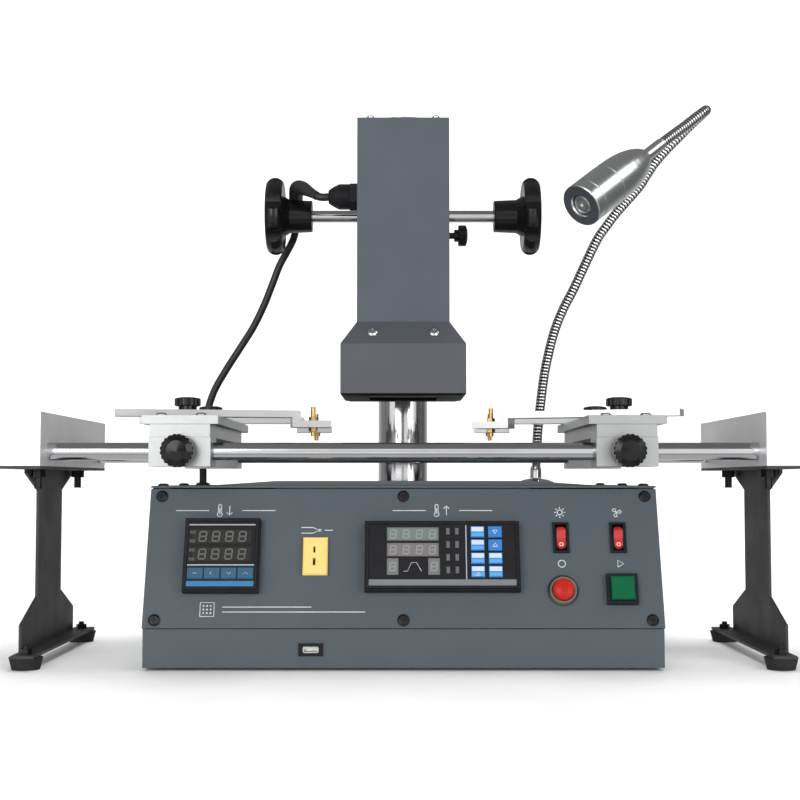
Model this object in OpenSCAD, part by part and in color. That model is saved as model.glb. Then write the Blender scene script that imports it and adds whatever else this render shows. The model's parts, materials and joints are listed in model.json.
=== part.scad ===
// Infrared rework station for ball-grid chips: a heated base with a sloped control panel, a heater head
// that lifts and swings on a column, a work lamp, and a free-standing frame that holds the circuit board.
// Millimetres. +X is right, +Y goes back, +Z is up, and the origin is on the bench under the middle.

/* [Base] */
// Width of the housing
base_w = 518; // [500:2:540]
// Depth of the housing from its front edge to its back
base_d = 400; // [390:5:440]
// Height of the top cover above the bench
base_h = 183; // [178:1:190]
// Height of the upright strip under the panel
sill_h = 42; // [38:1:46]
// How far the panel leans back over its height
panel_set = 47; // [42:1:50]
// Thickness of the folded sheet
sheet = 2; // [1.5:0.5:2]
// Height of the pads under the base
pad_h = 3; // [2:0.5:4]

/* [Panel devices] */
// Side of the square lower temperature controller
lower_size = 76; // [72:1:78]
// Width of the upper temperature controller
upper_w = 156; // [152:1:160]
// Height of the upper temperature controller
upper_h = 72; // [70:1:76]
// How far the controllers stand out of the panel
bezel_out = 13; // [10:1:15]
// Diameter of the stop button's ring
stop_ring_d = 31; // [29:1:33]
// Side of the start button's square frame
start_size = 31; // [29:1:33]
// Travel of the two push buttons
press = 3; // [2:0.5:4]

/* [Lower heater] */
// Length of one ceramic heater plate
plate_l = 120; // [110:1:124]
// Width of one ceramic heater plate
plate_w = 60; // [54:1:62]
// Distance of the heater's middle behind the front edge
heater_back = 150; // [148:1:156]
// Width of the raised guard over the heater
guard_w = 392; // [380:2:420]
// Height of the guard above the cover
guard_h = 5; // [4:0.5:6]

/* [Column and drive] */
// Diameter of the column
column_d = 60; // [56:1:62]
// Distance of the column behind the front edge
column_back = 320; // [318:1:326]
// Diameter of the lift shaft
shaft_d = 14; // [12:1:15]
// Height of the lift shaft above the bench
shaft_z = 497; // [490:1:504]
// Teeth on the lift pinion
pinion_teeth = 18; // [18:1:20]
// Module of the rack and pinion
tooth_module = 1.25; // [1.2:0.05:1.25]
// Diameter of the handwheels
wheel_d = 90; // [84:1:96]

/* [Heater head] */
// Side of the square head box
head_s = 100; // [98:1:102]
// Top of the head box above the bench
head_top = 582; // [576:1:590]
// Side of the square hood
hood_s = 134; // [130:1:140]
// Lowest edge of the heater bezel above the bench
head_low = 279; // [276:1:282]
// Side of the ceramic heater tile
tile_s = 80; // [76:1:84]
// Side of the cooling fan
fan_s = 80; // [78:1:82]

/* [Lamp] */
// Diameter of the lamp's foot flange
lamp_foot_d = 50; // [44:1:56]
// Diameter of the gooseneck
neck_d = 11; // [9:0.5:12]
// Diameter of the lamp head
lamp_d = 49; // [44:1:52]

/* [Board frame] */
// Diameter of the two guide rails
rail_d = 18; // [16:0.5:20]
// Height of the rails' axes above the bench
rail_z = 218; // [216:1:220]
// Half the distance between the end blocks
block_in = 360; // [350:1:370]
// Width of an end block
block_w = 40; // [36:1:44]
// Distance of the front rail behind the front edge of the base
front_rail = 22; // [22:1:24]
// Distance of the rear rail behind the front edge of the base
rear_rail = 258; // [254:1:260]
// Place of each carriage from the middle
carriage_x = 224; // [215:1:232]
// Width of a carriage's rail block
carriage_w = 62; // [58:1:66]

/* [Board arms] */
// Width of an arm
arm_w = 24; // [20:1:26]
// Thickness of an arm
arm_t = 7.3; // [6.5:0.1:7.5]
// Reach of an arm from its clamp to the board pin
arm_reach = 131; // [125:1:140]
// Length of an arm behind its clamp
arm_tail = 74; // [60:1:84]

/* [Hidden] */
$fn = 64;
small = 0.3;
seam = 0.02;
knob_reach = 22;
inlet_out = 2;
origin_back = (base_d + inlet_out - knob_reach) / 2;
panel_tilt = atan2(panel_set, base_h - sill_h);
panel_len = (base_h - sheet - 1.2 - sill_h) / cos(panel_tilt);
front_y = -origin_back;

// Places on the panel: across from the middle, and up the slope from the lower edge
lower_at = [-183, 73];
upper_at = [39, 72];
sensor_at = [-89, 73];
rocker_x = [160, 218];
rocker_w = 93;
stop_at = [160, 38];
start_at = [219, 39];
usb_at = [-92, 21];
panel_screw_x = [-248, 0, 248];
panel_screw_w = [8, 137];
cover_screw_back = [62, 200, 376];
cover_screw_x = 250;

// The lift drive
pitch_r = pinion_teeth * tooth_module / 2;
base_r = pitch_r * cos(20);
tip_r = pitch_r + tooth_module;
root_r = pitch_r - 1.25 * tooth_module;
tooth_pitch = PI * tooth_module;
backlash = 0.16;
pinion_w = 18;
head_back = 150;
head_rear = head_back + head_s / 2;
shaft_back = head_rear + 13.75 + pitch_r;
rack_line = shaft_back - pitch_r;
swing_low = 457;
swing_high = 537;
slide_w = 44;
slide_front = head_rear + 5.2;
slide_rear = head_rear + 11.2;
lock_z = 491;
wheel_x = 106;

// The head, from the bezel up
bezel_top = head_low + 2;
hood_top = 334;
flare_top = 359;
gland_at = [head_back + 15, 508];

// The board frame, from the rails up
block_low = 203;
block_high = 257;
block_front = -12;
block_back = 292;
carriage_len = 280;
carriage_low = 202.4;
carriage_top = 232;
bar_top = 245;
deck_top = 254;
deck_w = 77;
slot_w = 8.4;
channel_w = 15;
arm_low = deck_top + small;
arm_high = arm_low + arm_t;
tongue_low = 244;
knob_top = 275;
front_arm = 52;
rear_arm = 230;
arm_angles = [10, 4, -22, -6];
arm_shift = [0, 8, -9, 8];
leg_x = 388;
leg_t = 3;
flange_low = block_low - leg_t;
foot_h = 12;
foot_back = [14, 258];
foot_x = 378;
stud_back = [52, 229];

// The lamp's aim, from the rear of its head to its front face
lamp_foot = [163, column_back];
lamp_rear = [282, 187, 563];
lamp_face = [195, 120, 489];
lamp_aim = (lamp_face - lamp_rear) / norm(lamp_face - lamp_rear);
lamp_len = norm(lamp_face - lamp_rear);
neck_route = concat([
    [163, 320, 198], [164, 320, 214], [165, 320, 238], [167, 319, 263], [173, 318, 312], [179, 317, 343],
    [187, 316, 373], [198, 315, 400], [210, 313, 423], [224, 312, 453], [239, 310, 484], [250, 308, 500],
    [262, 307, 516], [276, 305, 532], [290, 303, 548], [299, 301, 562], [309, 298, 577], [323, 294, 593],
    [338, 289, 608], [350, 283, 620], [359, 273, 628], [363, 260, 631], [361, 248, 629], [354, 238, 623],
    [343, 231, 614], [330, 223, 603]], [for (k = [4 : -1 : 0]) lamp_rear - (k * 12 - 4) * lamp_aim]);

// The head cable, from its gland over the shaft hub and down to the base
cable_d = 8.8;
cable_route = [
    [-84, 165, 508], [-94, 165, 508], [-104, 171, 514], [-113, 183, 521], [-120, 198, 526], [-124, 215, 528],
    [-126, 232, 527], [-127, 248, 521], [-127, 261, 509], [-128, 269, 495], [-132, 274, 479], [-140, 278, 464],
    [-149, 281, 448], [-158, 283, 425], [-168, 285, 400], [-181, 288, 374], [-197, 291, 349], [-214, 294, 323],
    [-229, 297, 297], [-238, 300, 270], [-243, 303, 242], [-244, 305, 216], [-243, 305, 200], [-243, 305, 186]];
cable_end = cable_route[len(cable_route) - 1];

// Moves a shape to a distance behind the base's front edge
module back(depth, x = 0, z = 0) { translate([x, depth - origin_back, z]) children(); }

// Moves a shape onto the sloped panel: across, up the slope, and out of its face
module on_panel(place, out = 0) {
    translate([0, front_y, sill_h]) rotate([90 - panel_tilt, 0, 0])
        translate([place[0], place[1], out]) children();
}

// A box centred across X, with the rest of its place given by depth and height
module slab(w, depth, d, low, high) { back(depth, -w / 2, low) cube([w, d, high - low]); }

// A box centred on its own X and Y, standing on z = 0
module block(w, d, h) { translate([-w / 2, -d / 2, 0]) cube([w, d, h]); }

// An outline in depth and height, extruded across X
module side_profile(points, w) {
    translate([-w / 2, -origin_back, 0]) rotate([90, 0, 90]) linear_extrude(w) polygon(points);
}

// A pan-head screw with a cross recess, head on z = 0
module pan_screw(head_d, head_h, shank_d, shank_l) {
    difference() {
        union() {
            cylinder(h = head_h * 0.5, d = head_d);
            translate([0, 0, head_h * 0.5]) cylinder(h = head_h * 0.5, d1 = head_d, d2 = head_d * 0.68);
            translate([0, 0, -shank_l]) cylinder(h = shank_l, d = shank_d);
        }
        for (turn = [0, 90]) rotate(turn) translate([0, 0, head_h * 0.55]) block(head_d * 0.5, 1.2, head_h);
    }
}

// A fluted knob on a hub, with its back on z = 0 and a bore or a stud on its axis
module fluted_knob(head_d, head_h, hub_d, hub_h, flutes, flute_d, dome) {
    difference() {
        union() {
            cylinder(h = hub_h, d = hub_d);
            rotate_extrude() polygon([[0, hub_h], [head_d / 2 - 1, hub_h], [head_d / 2, hub_h + 1],
                [head_d / 2, hub_h + head_h - dome - 1], [head_d / 2 - 1.2, hub_h + head_h - dome],
                [head_d * 0.3, hub_h + head_h - dome * 0.25], [0, hub_h + head_h]]);
        }
        for (k = [0 : flutes - 1]) rotate(k * 360 / flutes) translate([head_d / 2 + flute_d * 0.2, 0, hub_h - 1])
            cylinder(h = head_h + 2, d = flute_d, $fn = 24);
    }
}

// A tube swept along a route, closed at both ends
function way(route, k) =
    let (last = len(route) - 1, a = route[max(k - 1, 0)], b = route[min(k + 1, last)]) (b - a) / norm(b - a);
function carried(side, along) = let (flat = side - (side * along) * along) flat / norm(flat);
function sides_of(route) = [for (k = 0, s = carried([0, 1, 0.2], way(route, 0)); k < len(route);
    k = k + 1, s = k < len(route) ? carried(s, way(route, k)) : s) s];
function rings(route, r, n) = let (sides = sides_of(route)) [for (k = [0 : len(route) - 1]) for (j = [0 : n - 1])
    route[k] + r * (cos(j * 360 / n) * sides[k] + sin(j * 360 / n) * cross(way(route, k), sides[k]))];
module tube(route, d, n) {
    last = len(route) - 1;
    polyhedron(rings(route, d / 2, n), concat(
        [[for (j = [0 : n - 1]) j]],
        [for (k = [0 : last - 1]) for (j = [0 : n - 1])
            [k * n + j, (k + 1) * n + j, (k + 1) * n + (j + 1) % n, k * n + (j + 1) % n]],
        [[for (j = [n - 1 : -1 : 0]) last * n + j]]));
}

// Folded lower housing: floor, sill, side and back walls, and the flanges that the covers screw to
module base_tray() {
    slope_gap = 1.6 * sheet / cos(panel_tilt);
    lip = 18;
    color("slategray") difference() {
        union() {
            slab(base_w, 0, base_d, pad_h, pad_h + sheet);
            slab(base_w, 0, sheet, pad_h, sill_h - 0.8);
            slab(base_w, base_d - sheet, sheet, pad_h, base_h - sheet);
            for (side = [-1, 1]) {
                translate([side * (base_w - sheet) / 2, 0, 0]) side_profile([[0, pad_h], [base_d, pad_h],
                    [base_d, base_h - sheet], [panel_set + slope_gap, base_h - sheet],
                    [slope_gap, sill_h], [slope_gap, sill_h - 0.8], [0, sill_h - 0.8]], sheet);
                back(panel_set + 4, side * (base_w - lip) / 2, base_h - 2 * sheet)
                    translate([-lip / 2, 0, 0]) cube([lip, base_d - panel_set - 4, sheet]);
                on_panel([side * (base_w - lip) / 2, panel_len / 2], -2 * sheet - 0.05)
                    block(lip, panel_len - 4, sheet);
            }
            on_panel([0, 12], -2 * sheet - 0.05) block(base_w - sheet, 15, sheet);
            on_panel([0, 136], -2 * sheet - 0.05) block(base_w - sheet, 12, sheet);
        }
        for (x = panel_screw_x, w = panel_screw_w) on_panel([x, w], -3 * sheet) cylinder(h = 4 * sheet, d = 4.3);
        for (side = [-1, 1], depth = cover_screw_back) back(depth, side * cover_screw_x, base_h - 4 * sheet)
            cylinder(h = 4 * sheet, d = 4.3);
        back(-1, usb_at[0], usb_at[1]) rotate([-90, 0, 0]) block(20.6, 9.6, 4);
        back(base_d - sheet - 1, -150, 70) rotate([-90, 0, 0]) block(28.6, 20.6, sheet + 2);
        back(cable_end[1], cable_end[0], base_h - 6) cylinder(h = 12, d = 23);
        for (x = [20, 90], k = [0 : 7]) back(base_d, x, 50 + k * 10) block(56, 4 * sheet, 4);
        for (side = [-1, 1], k = [0 : 9]) back(150 + k * 16, side * base_w / 2, 36) block(4 * sheet, 5, 44);
    }
}

// Flat top cover with the heater window and the holes for the column, the lamp and the cable
module top_cover() {
    front = panel_set - 1.5;
    color("slategray") difference() {
        slab(base_w + 2, front, base_d - front, base_h - sheet, base_h);
        slab(2 * plate_l + 8, heater_back - 1.5 * plate_w - 4, 3 * plate_w + 8, base_h - 2 * sheet, base_h + 1);
        for (side = [-1, 1], depth = cover_screw_back) back(depth, side * cover_screw_x, base_h - 2 * sheet)
            cylinder(h = 4 * sheet, d = 4.4);
        back(cable_end[1], cable_end[0], base_h - 2 * sheet) cylinder(h = 4 * sheet, d = 16.2);
        back(lamp_foot[1], lamp_foot[0], base_h - 2 * sheet) cylinder(h = 4 * sheet, d = 12.4);
    }
}

// Sloped control panel, cut out for each device
module control_panel() {
    color("slategray") difference() {
        on_panel([0, panel_len / 2], -sheet) block(base_w + 2, panel_len, sheet);
        on_panel(lower_at, -2 * sheet) block(lower_size - 5, lower_size - 5, 4 * sheet);
        on_panel(upper_at, -2 * sheet) block(upper_w - 6, upper_h - 6, 4 * sheet);
        on_panel(sensor_at, -2 * sheet) block(21, 35, 4 * sheet);
        for (x = rocker_x) on_panel([x, rocker_w], -2 * sheet) block(14.6, 30.2, 4 * sheet);
        on_panel(stop_at, -2 * sheet) cylinder(h = 4 * sheet, d = 27);
        on_panel(start_at, -2 * sheet) block(start_size - 3, start_size - 3, 4 * sheet);
        for (x = panel_screw_x, w = panel_screw_w) on_panel([x, w], -2 * sheet) cylinder(h = 4 * sheet, d = 4.4);
    }
}

// Black pan-head screws of the panel and the cover
module housing_screws() {
    color("black") {
        for (x = panel_screw_x, w = panel_screw_w) on_panel([x, w]) pan_screw(12, 2.6, 4, 7);
        for (side = [-1, 1], depth = cover_screw_back) back(depth, side * cover_screw_x, base_h)
            pan_screw(11, 2.4, 4, 7);
    }
}

// Pads under the base and tapered feet under the legs
module rubber_feet() {
    color("black") {
        for (side = [-1, 1], depth = [40, base_d - 40]) back(depth, side * (base_w / 2 - 40)) cylinder(h = pad_h, d = 32);
        for (side = [-1, 1], depth = foot_back) back(depth, side * foot_x) cylinder(h = foot_h, d1 = 28, d2 = 34);
    }
}

// One controller: a case with a stepped bezel and, in its front pocket, a plate with windows and keys
module controller(w, h, depth, windows, keys) {
    difference() {
        union() {
            block(w, h, bezel_out - 3);
            translate([0, 0, bezel_out - 3]) block(w - 3, h - 3, 3);
            translate([0, 0, -depth]) block(w - 6, h - 6, depth);
        }
        translate([0, 0, bezel_out - 2.5]) block(w - 8, h - 8, 4);
    }
    translate([0, 0, bezel_out - 2.5 + seam]) {
        difference() {
            block(w - 8.4, h - 8.4, 1.7);
            for (area = windows) translate([area[0], area[1], 1]) block(area[2], area[3], 2);
        }
        for (key = keys) translate([key[0], key[1], 1.7]) block(key[2], key[3], 1.2);
    }
}

// Square controller of the lower heater: two rows of digits over four keys
module lower_controller() {
    keys = [for (k = [0 : 3]) [-25.2 + k * 16.8, -20.2, 15.6, 11]];
    color("#1a1b20") on_panel(lower_at)
        controller(lower_size, lower_size, 62, [[0, 18.2, 60, 15], [0, 0, 60, 15]], keys);
}

// Wide controller of the upper heater: windows on the left, eight keys on the right
module upper_controller() {
    windows = [[-29.6, 21.6, 52, 13.6], [-29.6, 5.3, 52, 13.6], [-49.8, -12.1, 11.6, 17], [-8.4, -12.1, 11.6, 17]];
    keys = [for (column = [0, 1], row = [0 : 3]) [35.6 + column * 17.7, 23.6 - row * 13.7, 13.4, 11.2]];
    color("#1a1b20") on_panel(upper_at) controller(upper_w, upper_h, 55, windows, keys);
}

// Thermocouple socket: a moulded block with two unequal slots
module sensor_socket() {
    color("#f5d27a") on_panel(sensor_at) difference() {
        union() {
            block(25, 39, 3.5);
            translate([0, 0, 3.5]) block(23, 37, 1.5);
            translate([0, 0, -18]) block(20.4, 34.4, 18);
        }
        for (place = [[-1, 6.5, 2.2, 6.5], [-1, -6, 2.8, 7.5]])
            translate([place[0], place[1], -10]) block(place[2], place[3], 20);
    }
}

// USB socket: a black surround with a metal shell and its contact tongue
module usb_socket() {
    color("black") back(0, usb_at[0], usb_at[1]) rotate([90, 0, 0]) {
        difference() {
            union() {
                block(24.5, 12.5, 1.5);
                translate([0, 0, -24]) block(20, 9, 24);
            }
            translate([0, 0, -14]) block(16, 6.4, 20);
        }
        translate([0, 1.4, -14]) block(13, 1.8, 13.5);
    }
}

// Fixed parts of the switches: two rocker frames, the stop button's ring and the start button's frame
module switch_bezels() {
    color("#202124") {
        for (x = rocker_x) on_panel([x, rocker_w]) difference() {
            union() {
                block(16.4, 32, 2.4);
                translate([0, 0, -22]) block(14, 29.6, 22);
            }
            translate([0, 0, -14]) block(11.4, 27.6, 20);
        }
        on_panel(stop_at) difference() {
            union() {
                rotate_extrude() polygon([[0, 0], [stop_ring_d / 2, 0], [stop_ring_d / 2, 2],
                    [stop_ring_d / 2 - 2, 4.5], [0, 4.5]]);
                translate([0, 0, -34]) cylinder(h = 34, d = 26.4);
            }
            translate([0, 0, -16]) cylinder(h = 30, d = 22.8);
        }
        on_panel(start_at) difference() {
            union() {
                block(start_size, start_size, 6);
                translate([0, 0, -34]) block(start_size - 3.6, start_size - 3.6, 34);
            }
            translate([0, 0, -16]) block(24.6, 24.6, 40);
        }
    }
}

// Rocker with two sloping faces, which turns on a pin across its frame
module rocker() {
    pivot = -6;
    lean = 9;
    translate([0, 0, pivot]) rotate([lean, 0, 0]) intersection() {
        translate([-5.4, 0, 0]) rotate([0, 90, 0]) cylinder(h = 10.8, r = 13.3);
        translate([-5.4, 0, 0]) rotate([90, 0, 90]) linear_extrude(10.8)
            polygon([[-13.4, -3], [13.4, -3], [13.4, 11.6], [0, 9.4], [-13.4, 11.6]]);
    }
}
module lighting_rocker() { color("firebrick") on_panel([rocker_x[0], rocker_w]) rocker(); }
module fan_rocker() { color("firebrick") on_panel([rocker_x[1], rocker_w]) rocker(); }

// Mushroom push button that stops a run
module stop_button() {
    color("#d8322a") on_panel(stop_at) rotate_extrude() polygon([[0, -8], [11, -8], [11, 7.5], [10.2, 9.3],
        [8, 10.8], [4, 11.8], [0, 12]]);
}

// Square push button that starts a run
module start_button() {
    color("#0a7a46") on_panel(start_at) {
        translate([0, 0, -8]) block(23.6, 23.6, 17);
        translate([0, 0, 9]) block(21.6, 21.6, 1);
    }
}

// Stainless pan that hangs under the cover and holds the heater plates
module heater_tray() {
    pan_w = 2 * plate_l + 7;
    pan_d = 3 * plate_w + 7;
    low = base_h - sheet - 32;
    color("silver") difference() {
        union() {
            slab(pan_w, heater_back - pan_d / 2, pan_d, low, base_h - sheet);
            slab(pan_w + 14, heater_back - pan_d / 2 - 7, pan_d + 14, base_h - sheet - 1.5, base_h - sheet);
        }
        slab(pan_w - 3, heater_back - pan_d / 2 + 1.5, pan_d - 3, low + 1.5, base_h + 1);
    }
}

// Six ceramic heater plates on their pegs, with the shallow ribs of the heating coil
module heater_plates() {
    color("#d9d2c4") for (column = [-0.5, 0.5], row = [-1 : 1])
        back(heater_back + row * plate_w, column * plate_l, base_h - sheet - 30.5) difference() {
            union() {
                translate([0, 0, 16]) block(plate_l - 1, plate_w - 1, 12);
                for (side = [-1, 1]) translate([side * 25, 0, 0]) cylinder(h = 17, d = 14);
            }
            for (k = [-4 : 4]) translate([k * 12, 0, 27]) block(5, plate_w - 10, 3);
        }
}

// Raised guard: a folded cover with sloping flanks, pierced by a grid over the heater
module heater_guard() {
    cell = 17;
    hole = 14.6;
    wall = 1.2;
    deep = 3 * plate_w + 14;
    flat_w = 2 * plate_l + 26;
    color("gainsboro") back(heater_back, 0, base_h) difference() {
        translate([0, deep / 2, 0]) rotate([90, 0, 0]) linear_extrude(deep) polygon([[-guard_w / 2, 0],
            [guard_w / 2, 0], [guard_w / 2, 0.8], [flat_w / 2, guard_h], [-flat_w / 2, guard_h], [-guard_w / 2, 0.8]]);
        translate([0, deep / 2 - wall, 0]) rotate([90, 0, 0]) linear_extrude(deep - 2 * wall) polygon([
            [-guard_w / 2 + 16, -1], [guard_w / 2 - 16, -1], [guard_w / 2 - 16, 0.4], [flat_w / 2, guard_h - wall],
            [-flat_w / 2, guard_h - wall], [-guard_w / 2 + 16, 0.4]]);
        for (column = [-6.5 : 6.5], row = [-5 : 5]) translate([column * cell, row * cell, guard_h - 2 * wall])
            block(hole, hole, 4 * wall);
    }
}

// Two solid-state relays and a lamp supply on the floor of the base
module relays() {
    floor_z = pad_h + sheet;
    color("dimgray") {
        for (side = [-1, 1]) back(300, side * 120, floor_z) {
            block(62, 46, 6);
            translate([0, 0, 6]) block(58, 44, 20);
            for (x = [-22, 22], y = [-13, 13]) translate([x, y, 26]) cylinder(h = 3, d = 9);
        }
        back(310, 0, floor_z) difference() {
            block(90, 50, 30);
            for (k = [-3 : 3]) translate([k * 11, 0, 24]) block(5, 60, 10);
        }
    }
}

// Mains inlet in the back wall, with three blades in its well
module power_inlet() {
    color("black") back(base_d, -150, 70) rotate([-90, 0, 0]) {
        difference() {
            union() {
                block(50, 24, inlet_out);
                translate([0, 0, -24]) block(28, 20, 24);
            }
            translate([0, 0, -14]) block(25, 17, 20);
            for (side = [-1, 1]) translate([side * 20, 0, -1]) cylinder(h = 5, d = 3.4);
        }
        for (place = [[-7, -2], [0, 3], [7, -2]]) translate([place[0], place[1], -14]) block(2, 4, 12);
    }
}

// Chrome column on a welded foot flange, with a cap and the ring that the swing block rests on
module column() {
    flange_h = 4.4;
    sink = flange_h - 3.2;
    ring_low = swing_low - 14.3;
    color("silver") {
        back(column_back, 0, base_h) difference() {
            union() {
                cylinder(h = flange_h, d = 104);
                cylinder(h = 566 - base_h, d = column_d);
                translate([0, 0, 566 - base_h]) cylinder(h = 3, d1 = column_d, d2 = column_d - 6);
            }
            translate([0, 0, -1]) cylinder(h = 560 - base_h, d = column_d - 10);
            for (k = [0 : 3]) rotate(45 + k * 90) translate([42, 0, 0]) {
                translate([0, 0, -1]) cylinder(h = flange_h, d = 6.4);
                translate([0, 0, sink]) cylinder(h = 4, d1 = 6.4, d2 = 13);
            }
        }
        back(column_back, 0, base_h) for (k = [0 : 3]) rotate(45 + k * 90) translate([42, 0, 0]) {
            cylinder(h = flange_h - 1, d = 6);
            translate([0, 0, sink]) cylinder(h = 3.2, d1 = 6, d2 = 11);
        }
        back(column_back, 0, ring_low) difference() {
            cylinder(h = 14, d = column_d + 24);
            translate([0, 0, -1]) cylinder(h = 16, d = column_d + 0.04);
            translate([0, 0, 7]) rotate([90, 0, 0]) translate([0, 0, -50]) cylinder(h = 25, d = 6);
        }
    }
}

// Block that swings on the column, guides the rack slide and carries the lift shaft
module swing_block() {
    high = swing_high - swing_low;
    cheek = 64;
    front = head_rear + 0.6;
    color("#4a4d52") difference() {
        union() {
            back(column_back, 0, swing_low) cylinder(h = high, d = column_d + 26);
            slab(cheek, front, column_back - front - 20, swing_low, swing_high);
            back(column_back, 36, lock_z) rotate([0, 90, 0]) cylinder(h = 20, d = 24);
        }
        back(column_back, 0, swing_low - 1) cylinder(h = high + 2, d = column_d + 0.08);
        back(column_back, 20, lock_z) rotate([0, 90, 0]) cylinder(h = 50, d = 8.1);
        slab(24.8, front - 1, 8, swing_low - 1, swing_high + 1);
        slab(slide_w + 0.8, slide_front - 0.4, slide_rear - slide_front + 0.8, swing_low - 1, swing_high + 1);
        slab(pinion_w + 1.2, slide_rear, rack_line + tooth_module + 0.6 - slide_rear, swing_low - 1, swing_high + 1);
        back(shaft_back, -(pinion_w + 1.2) / 2, shaft_z) rotate([0, 90, 0])
            cylinder(h = pinion_w + 1.2, r = tip_r + 0.6);
        back(shaft_back, -cheek, shaft_z) rotate([0, 90, 0]) cylinder(h = 2 * cheek, d = shaft_d + 0.08);
    }
}

// Knob and stud that lock the swing block on the column
module swing_lock_knob() {
    color("black") back(column_back, column_d / 2 + 0.5, lock_z) rotate([0, 90, 0]) {
        cylinder(h = 34, d = 8);
        translate([0, 0, 33]) fluted_knob(26, 12, 15, 5, 14, 3, 2);
    }
}

// One half tooth of the involute pinion: its half angle at a radius
function involute(a) = tan(a) * 180 / PI - a;
function half_tooth(r) = 90 / pinion_teeth - backlash / 4 / pitch_r * 180 / PI + involute(20) - involute(acos(base_r / r));
pinion_outline = [for (k = [0 : pinion_teeth - 1]) let (middle = (k + 0.5) * 360 / pinion_teeth)
    for (step = [0 : 9]) let (side = step < 5 ? -1 : 1, n = step < 5 ? step : 9 - step,
        r = n == 0 ? root_r : base_r + (tip_r - base_r) * (n - 1) / 3,
        turn = middle + side * half_tooth(max(r, base_r))) r * [cos(turn), sin(turn)]];

// Lift shaft with its pinion
module pinion_shaft() {
    length = 2 * (wheel_x + 41);
    color("silver") back(shaft_back, 0, shaft_z) rotate([0, 90, 0]) {
        translate([0, 0, -length / 2]) cylinder(h = length, d = shaft_d);
        translate([0, 0, -pinion_w / 2]) rotate(90) linear_extrude(pinion_w) polygon(pinion_outline);
    }
}

// Lobed handwheel: a turned hub, web and rim, with scallops between its grips
module handwheel() {
    rim = wheel_d / 2;
    lobes = 7;
    difference() {
        rotate_extrude() polygon(concat([[0, 0], [17.5, 0], [18.4, 1], [19.4, 26], [24, 34], [rim - 13, 34]],
            [for (a = [-60 : 15 : 60]) [rim - 11 + 11 * cos(a), 43 + 11 * sin(a)]],
            [[rim - 14, 52], [20, 49], [14, 53], [0, 53]]));
        translate([0, 0, -1]) cylinder(h = 44, d = shaft_d + 0.04);
        for (k = [0 : lobes - 1]) rotate(k * 360 / lobes) translate([rim + 8, 0, 20]) cylinder(h = 50, r = 13);
    }
}
module handwheels() {
    color("#101012") for (side = [0, 1]) mirror([side, 0, 0]) back(shaft_back, wheel_x, shaft_z)
        rotate([0, 90, 0]) handwheel();
}

// Slide bolted to the head: a flanged bar with a toothed rib and a stop lug that rests on the block
module slide_rack() {
    low = 374;
    high = head_top - 8;
    teeth_down = 20;
    teeth_up = 5;
    rib_root = rack_line - 1.25 * tooth_module;
    half = tooth_pitch / 4 - backlash / 4;
    rise = tooth_module * tan(20);
    color("gray") {
        slab(24, head_rear, 5.2, low, high);
        slab(slide_w, slide_front, slide_rear - slide_front, low, high);
        slab(pinion_w, slide_rear, rib_root - slide_rear, low, high);
        side_profile(concat(
            [[rib_root - 0.5, shaft_z + (teeth_up + 0.5) * tooth_pitch],
             [rib_root - 0.5, shaft_z - (teeth_down + 0.5) * tooth_pitch]],
            [for (k = [-teeth_down : teeth_up]) for (corner = [[-1.25, -1], [1, -1], [1, 1], [-1.25, 1]])
                [rack_line + corner[0] * tooth_module,
                 shaft_z + k * tooth_pitch + corner[1] * (half - corner[0] * rise)]]), pinion_w);
        slab(slide_w, slide_rear - 1, 26, swing_high + 0.3, swing_high + 9);
    }
}

// Folded head box, open below, with the fan hole in its top and the gland hole in its left side
module head_shell() {
    wall = 1.5;
    color("#646a72") difference() {
        slab(head_s, head_back - head_s / 2, head_s, flare_top, head_top);
        slab(head_s - 2 * wall, head_back - head_s / 2 + wall, head_s - 2 * wall, flare_top - 1, head_top - wall);
        back(head_back, 0, head_top - 5) cylinder(h = 10, d = fan_s - 4);
        for (x = [-1, 1], y = [-1, 1]) back(head_back + y * 35.75, x * 35.75, head_top - 5) cylinder(h = 10, d = 4.4);
        back(gland_at[0], -head_s / 2 - 5, gland_at[1]) rotate([0, 90, 0]) cylinder(h = 10, d = 20.4);
    }
}

// A square frustum with a straight skirt below, from exact flat sides
module hood_form(top_s, low_s, low, shoulder, high) {
    outline = [[-low_s / 2, low], [low_s / 2, low], [low_s / 2, shoulder], [top_s / 2, high], [-top_s / 2, high],
        [-low_s / 2, shoulder]];
    intersection() {
        side_profile([for (p = outline) [head_back + p[0], p[1]]], 2 * low_s);
        back(head_back + low_s) rotate([90, 0, 0]) linear_extrude(2 * low_s) polygon(outline);
    }
}

// Folded hood: a flare under the head box, a straight skirt, and a collar that goes up into the box
module head_hood() {
    wall = 1.5;
    collar = head_s - 2 * wall - 0.4;
    color("#646a72") difference() {
        union() {
            hood_form(head_s, hood_s, bezel_top, hood_top, flare_top);
            slab(collar, head_back - collar / 2, collar, flare_top - 1, flare_top + 10);
        }
        hood_form(head_s - 2 * wall - 4, hood_s - 2 * wall, bezel_top - 1, hood_top - 0.5, flare_top + 0.01);
        slab(collar - 2 * wall, head_back - collar / 2 + wall, collar - 2 * wall, flare_top - 1, flare_top + 11);
        for (x = [-33, 33], side = [-1, 1]) hood_screw_at(x, side) translate([0, 0, -6]) cylinder(h = 12, d = 4.4);
    }
}
module hood_screw_at(x, side) {
    lean = atan2((hood_s - head_s) / 2, flare_top - hood_top);
    place = (hood_s + head_s) / 4;
    back(head_back + side * place, x, (hood_top + flare_top) / 2) rotate([-side * (90 - lean), 0, 0]) children();
}

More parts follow.
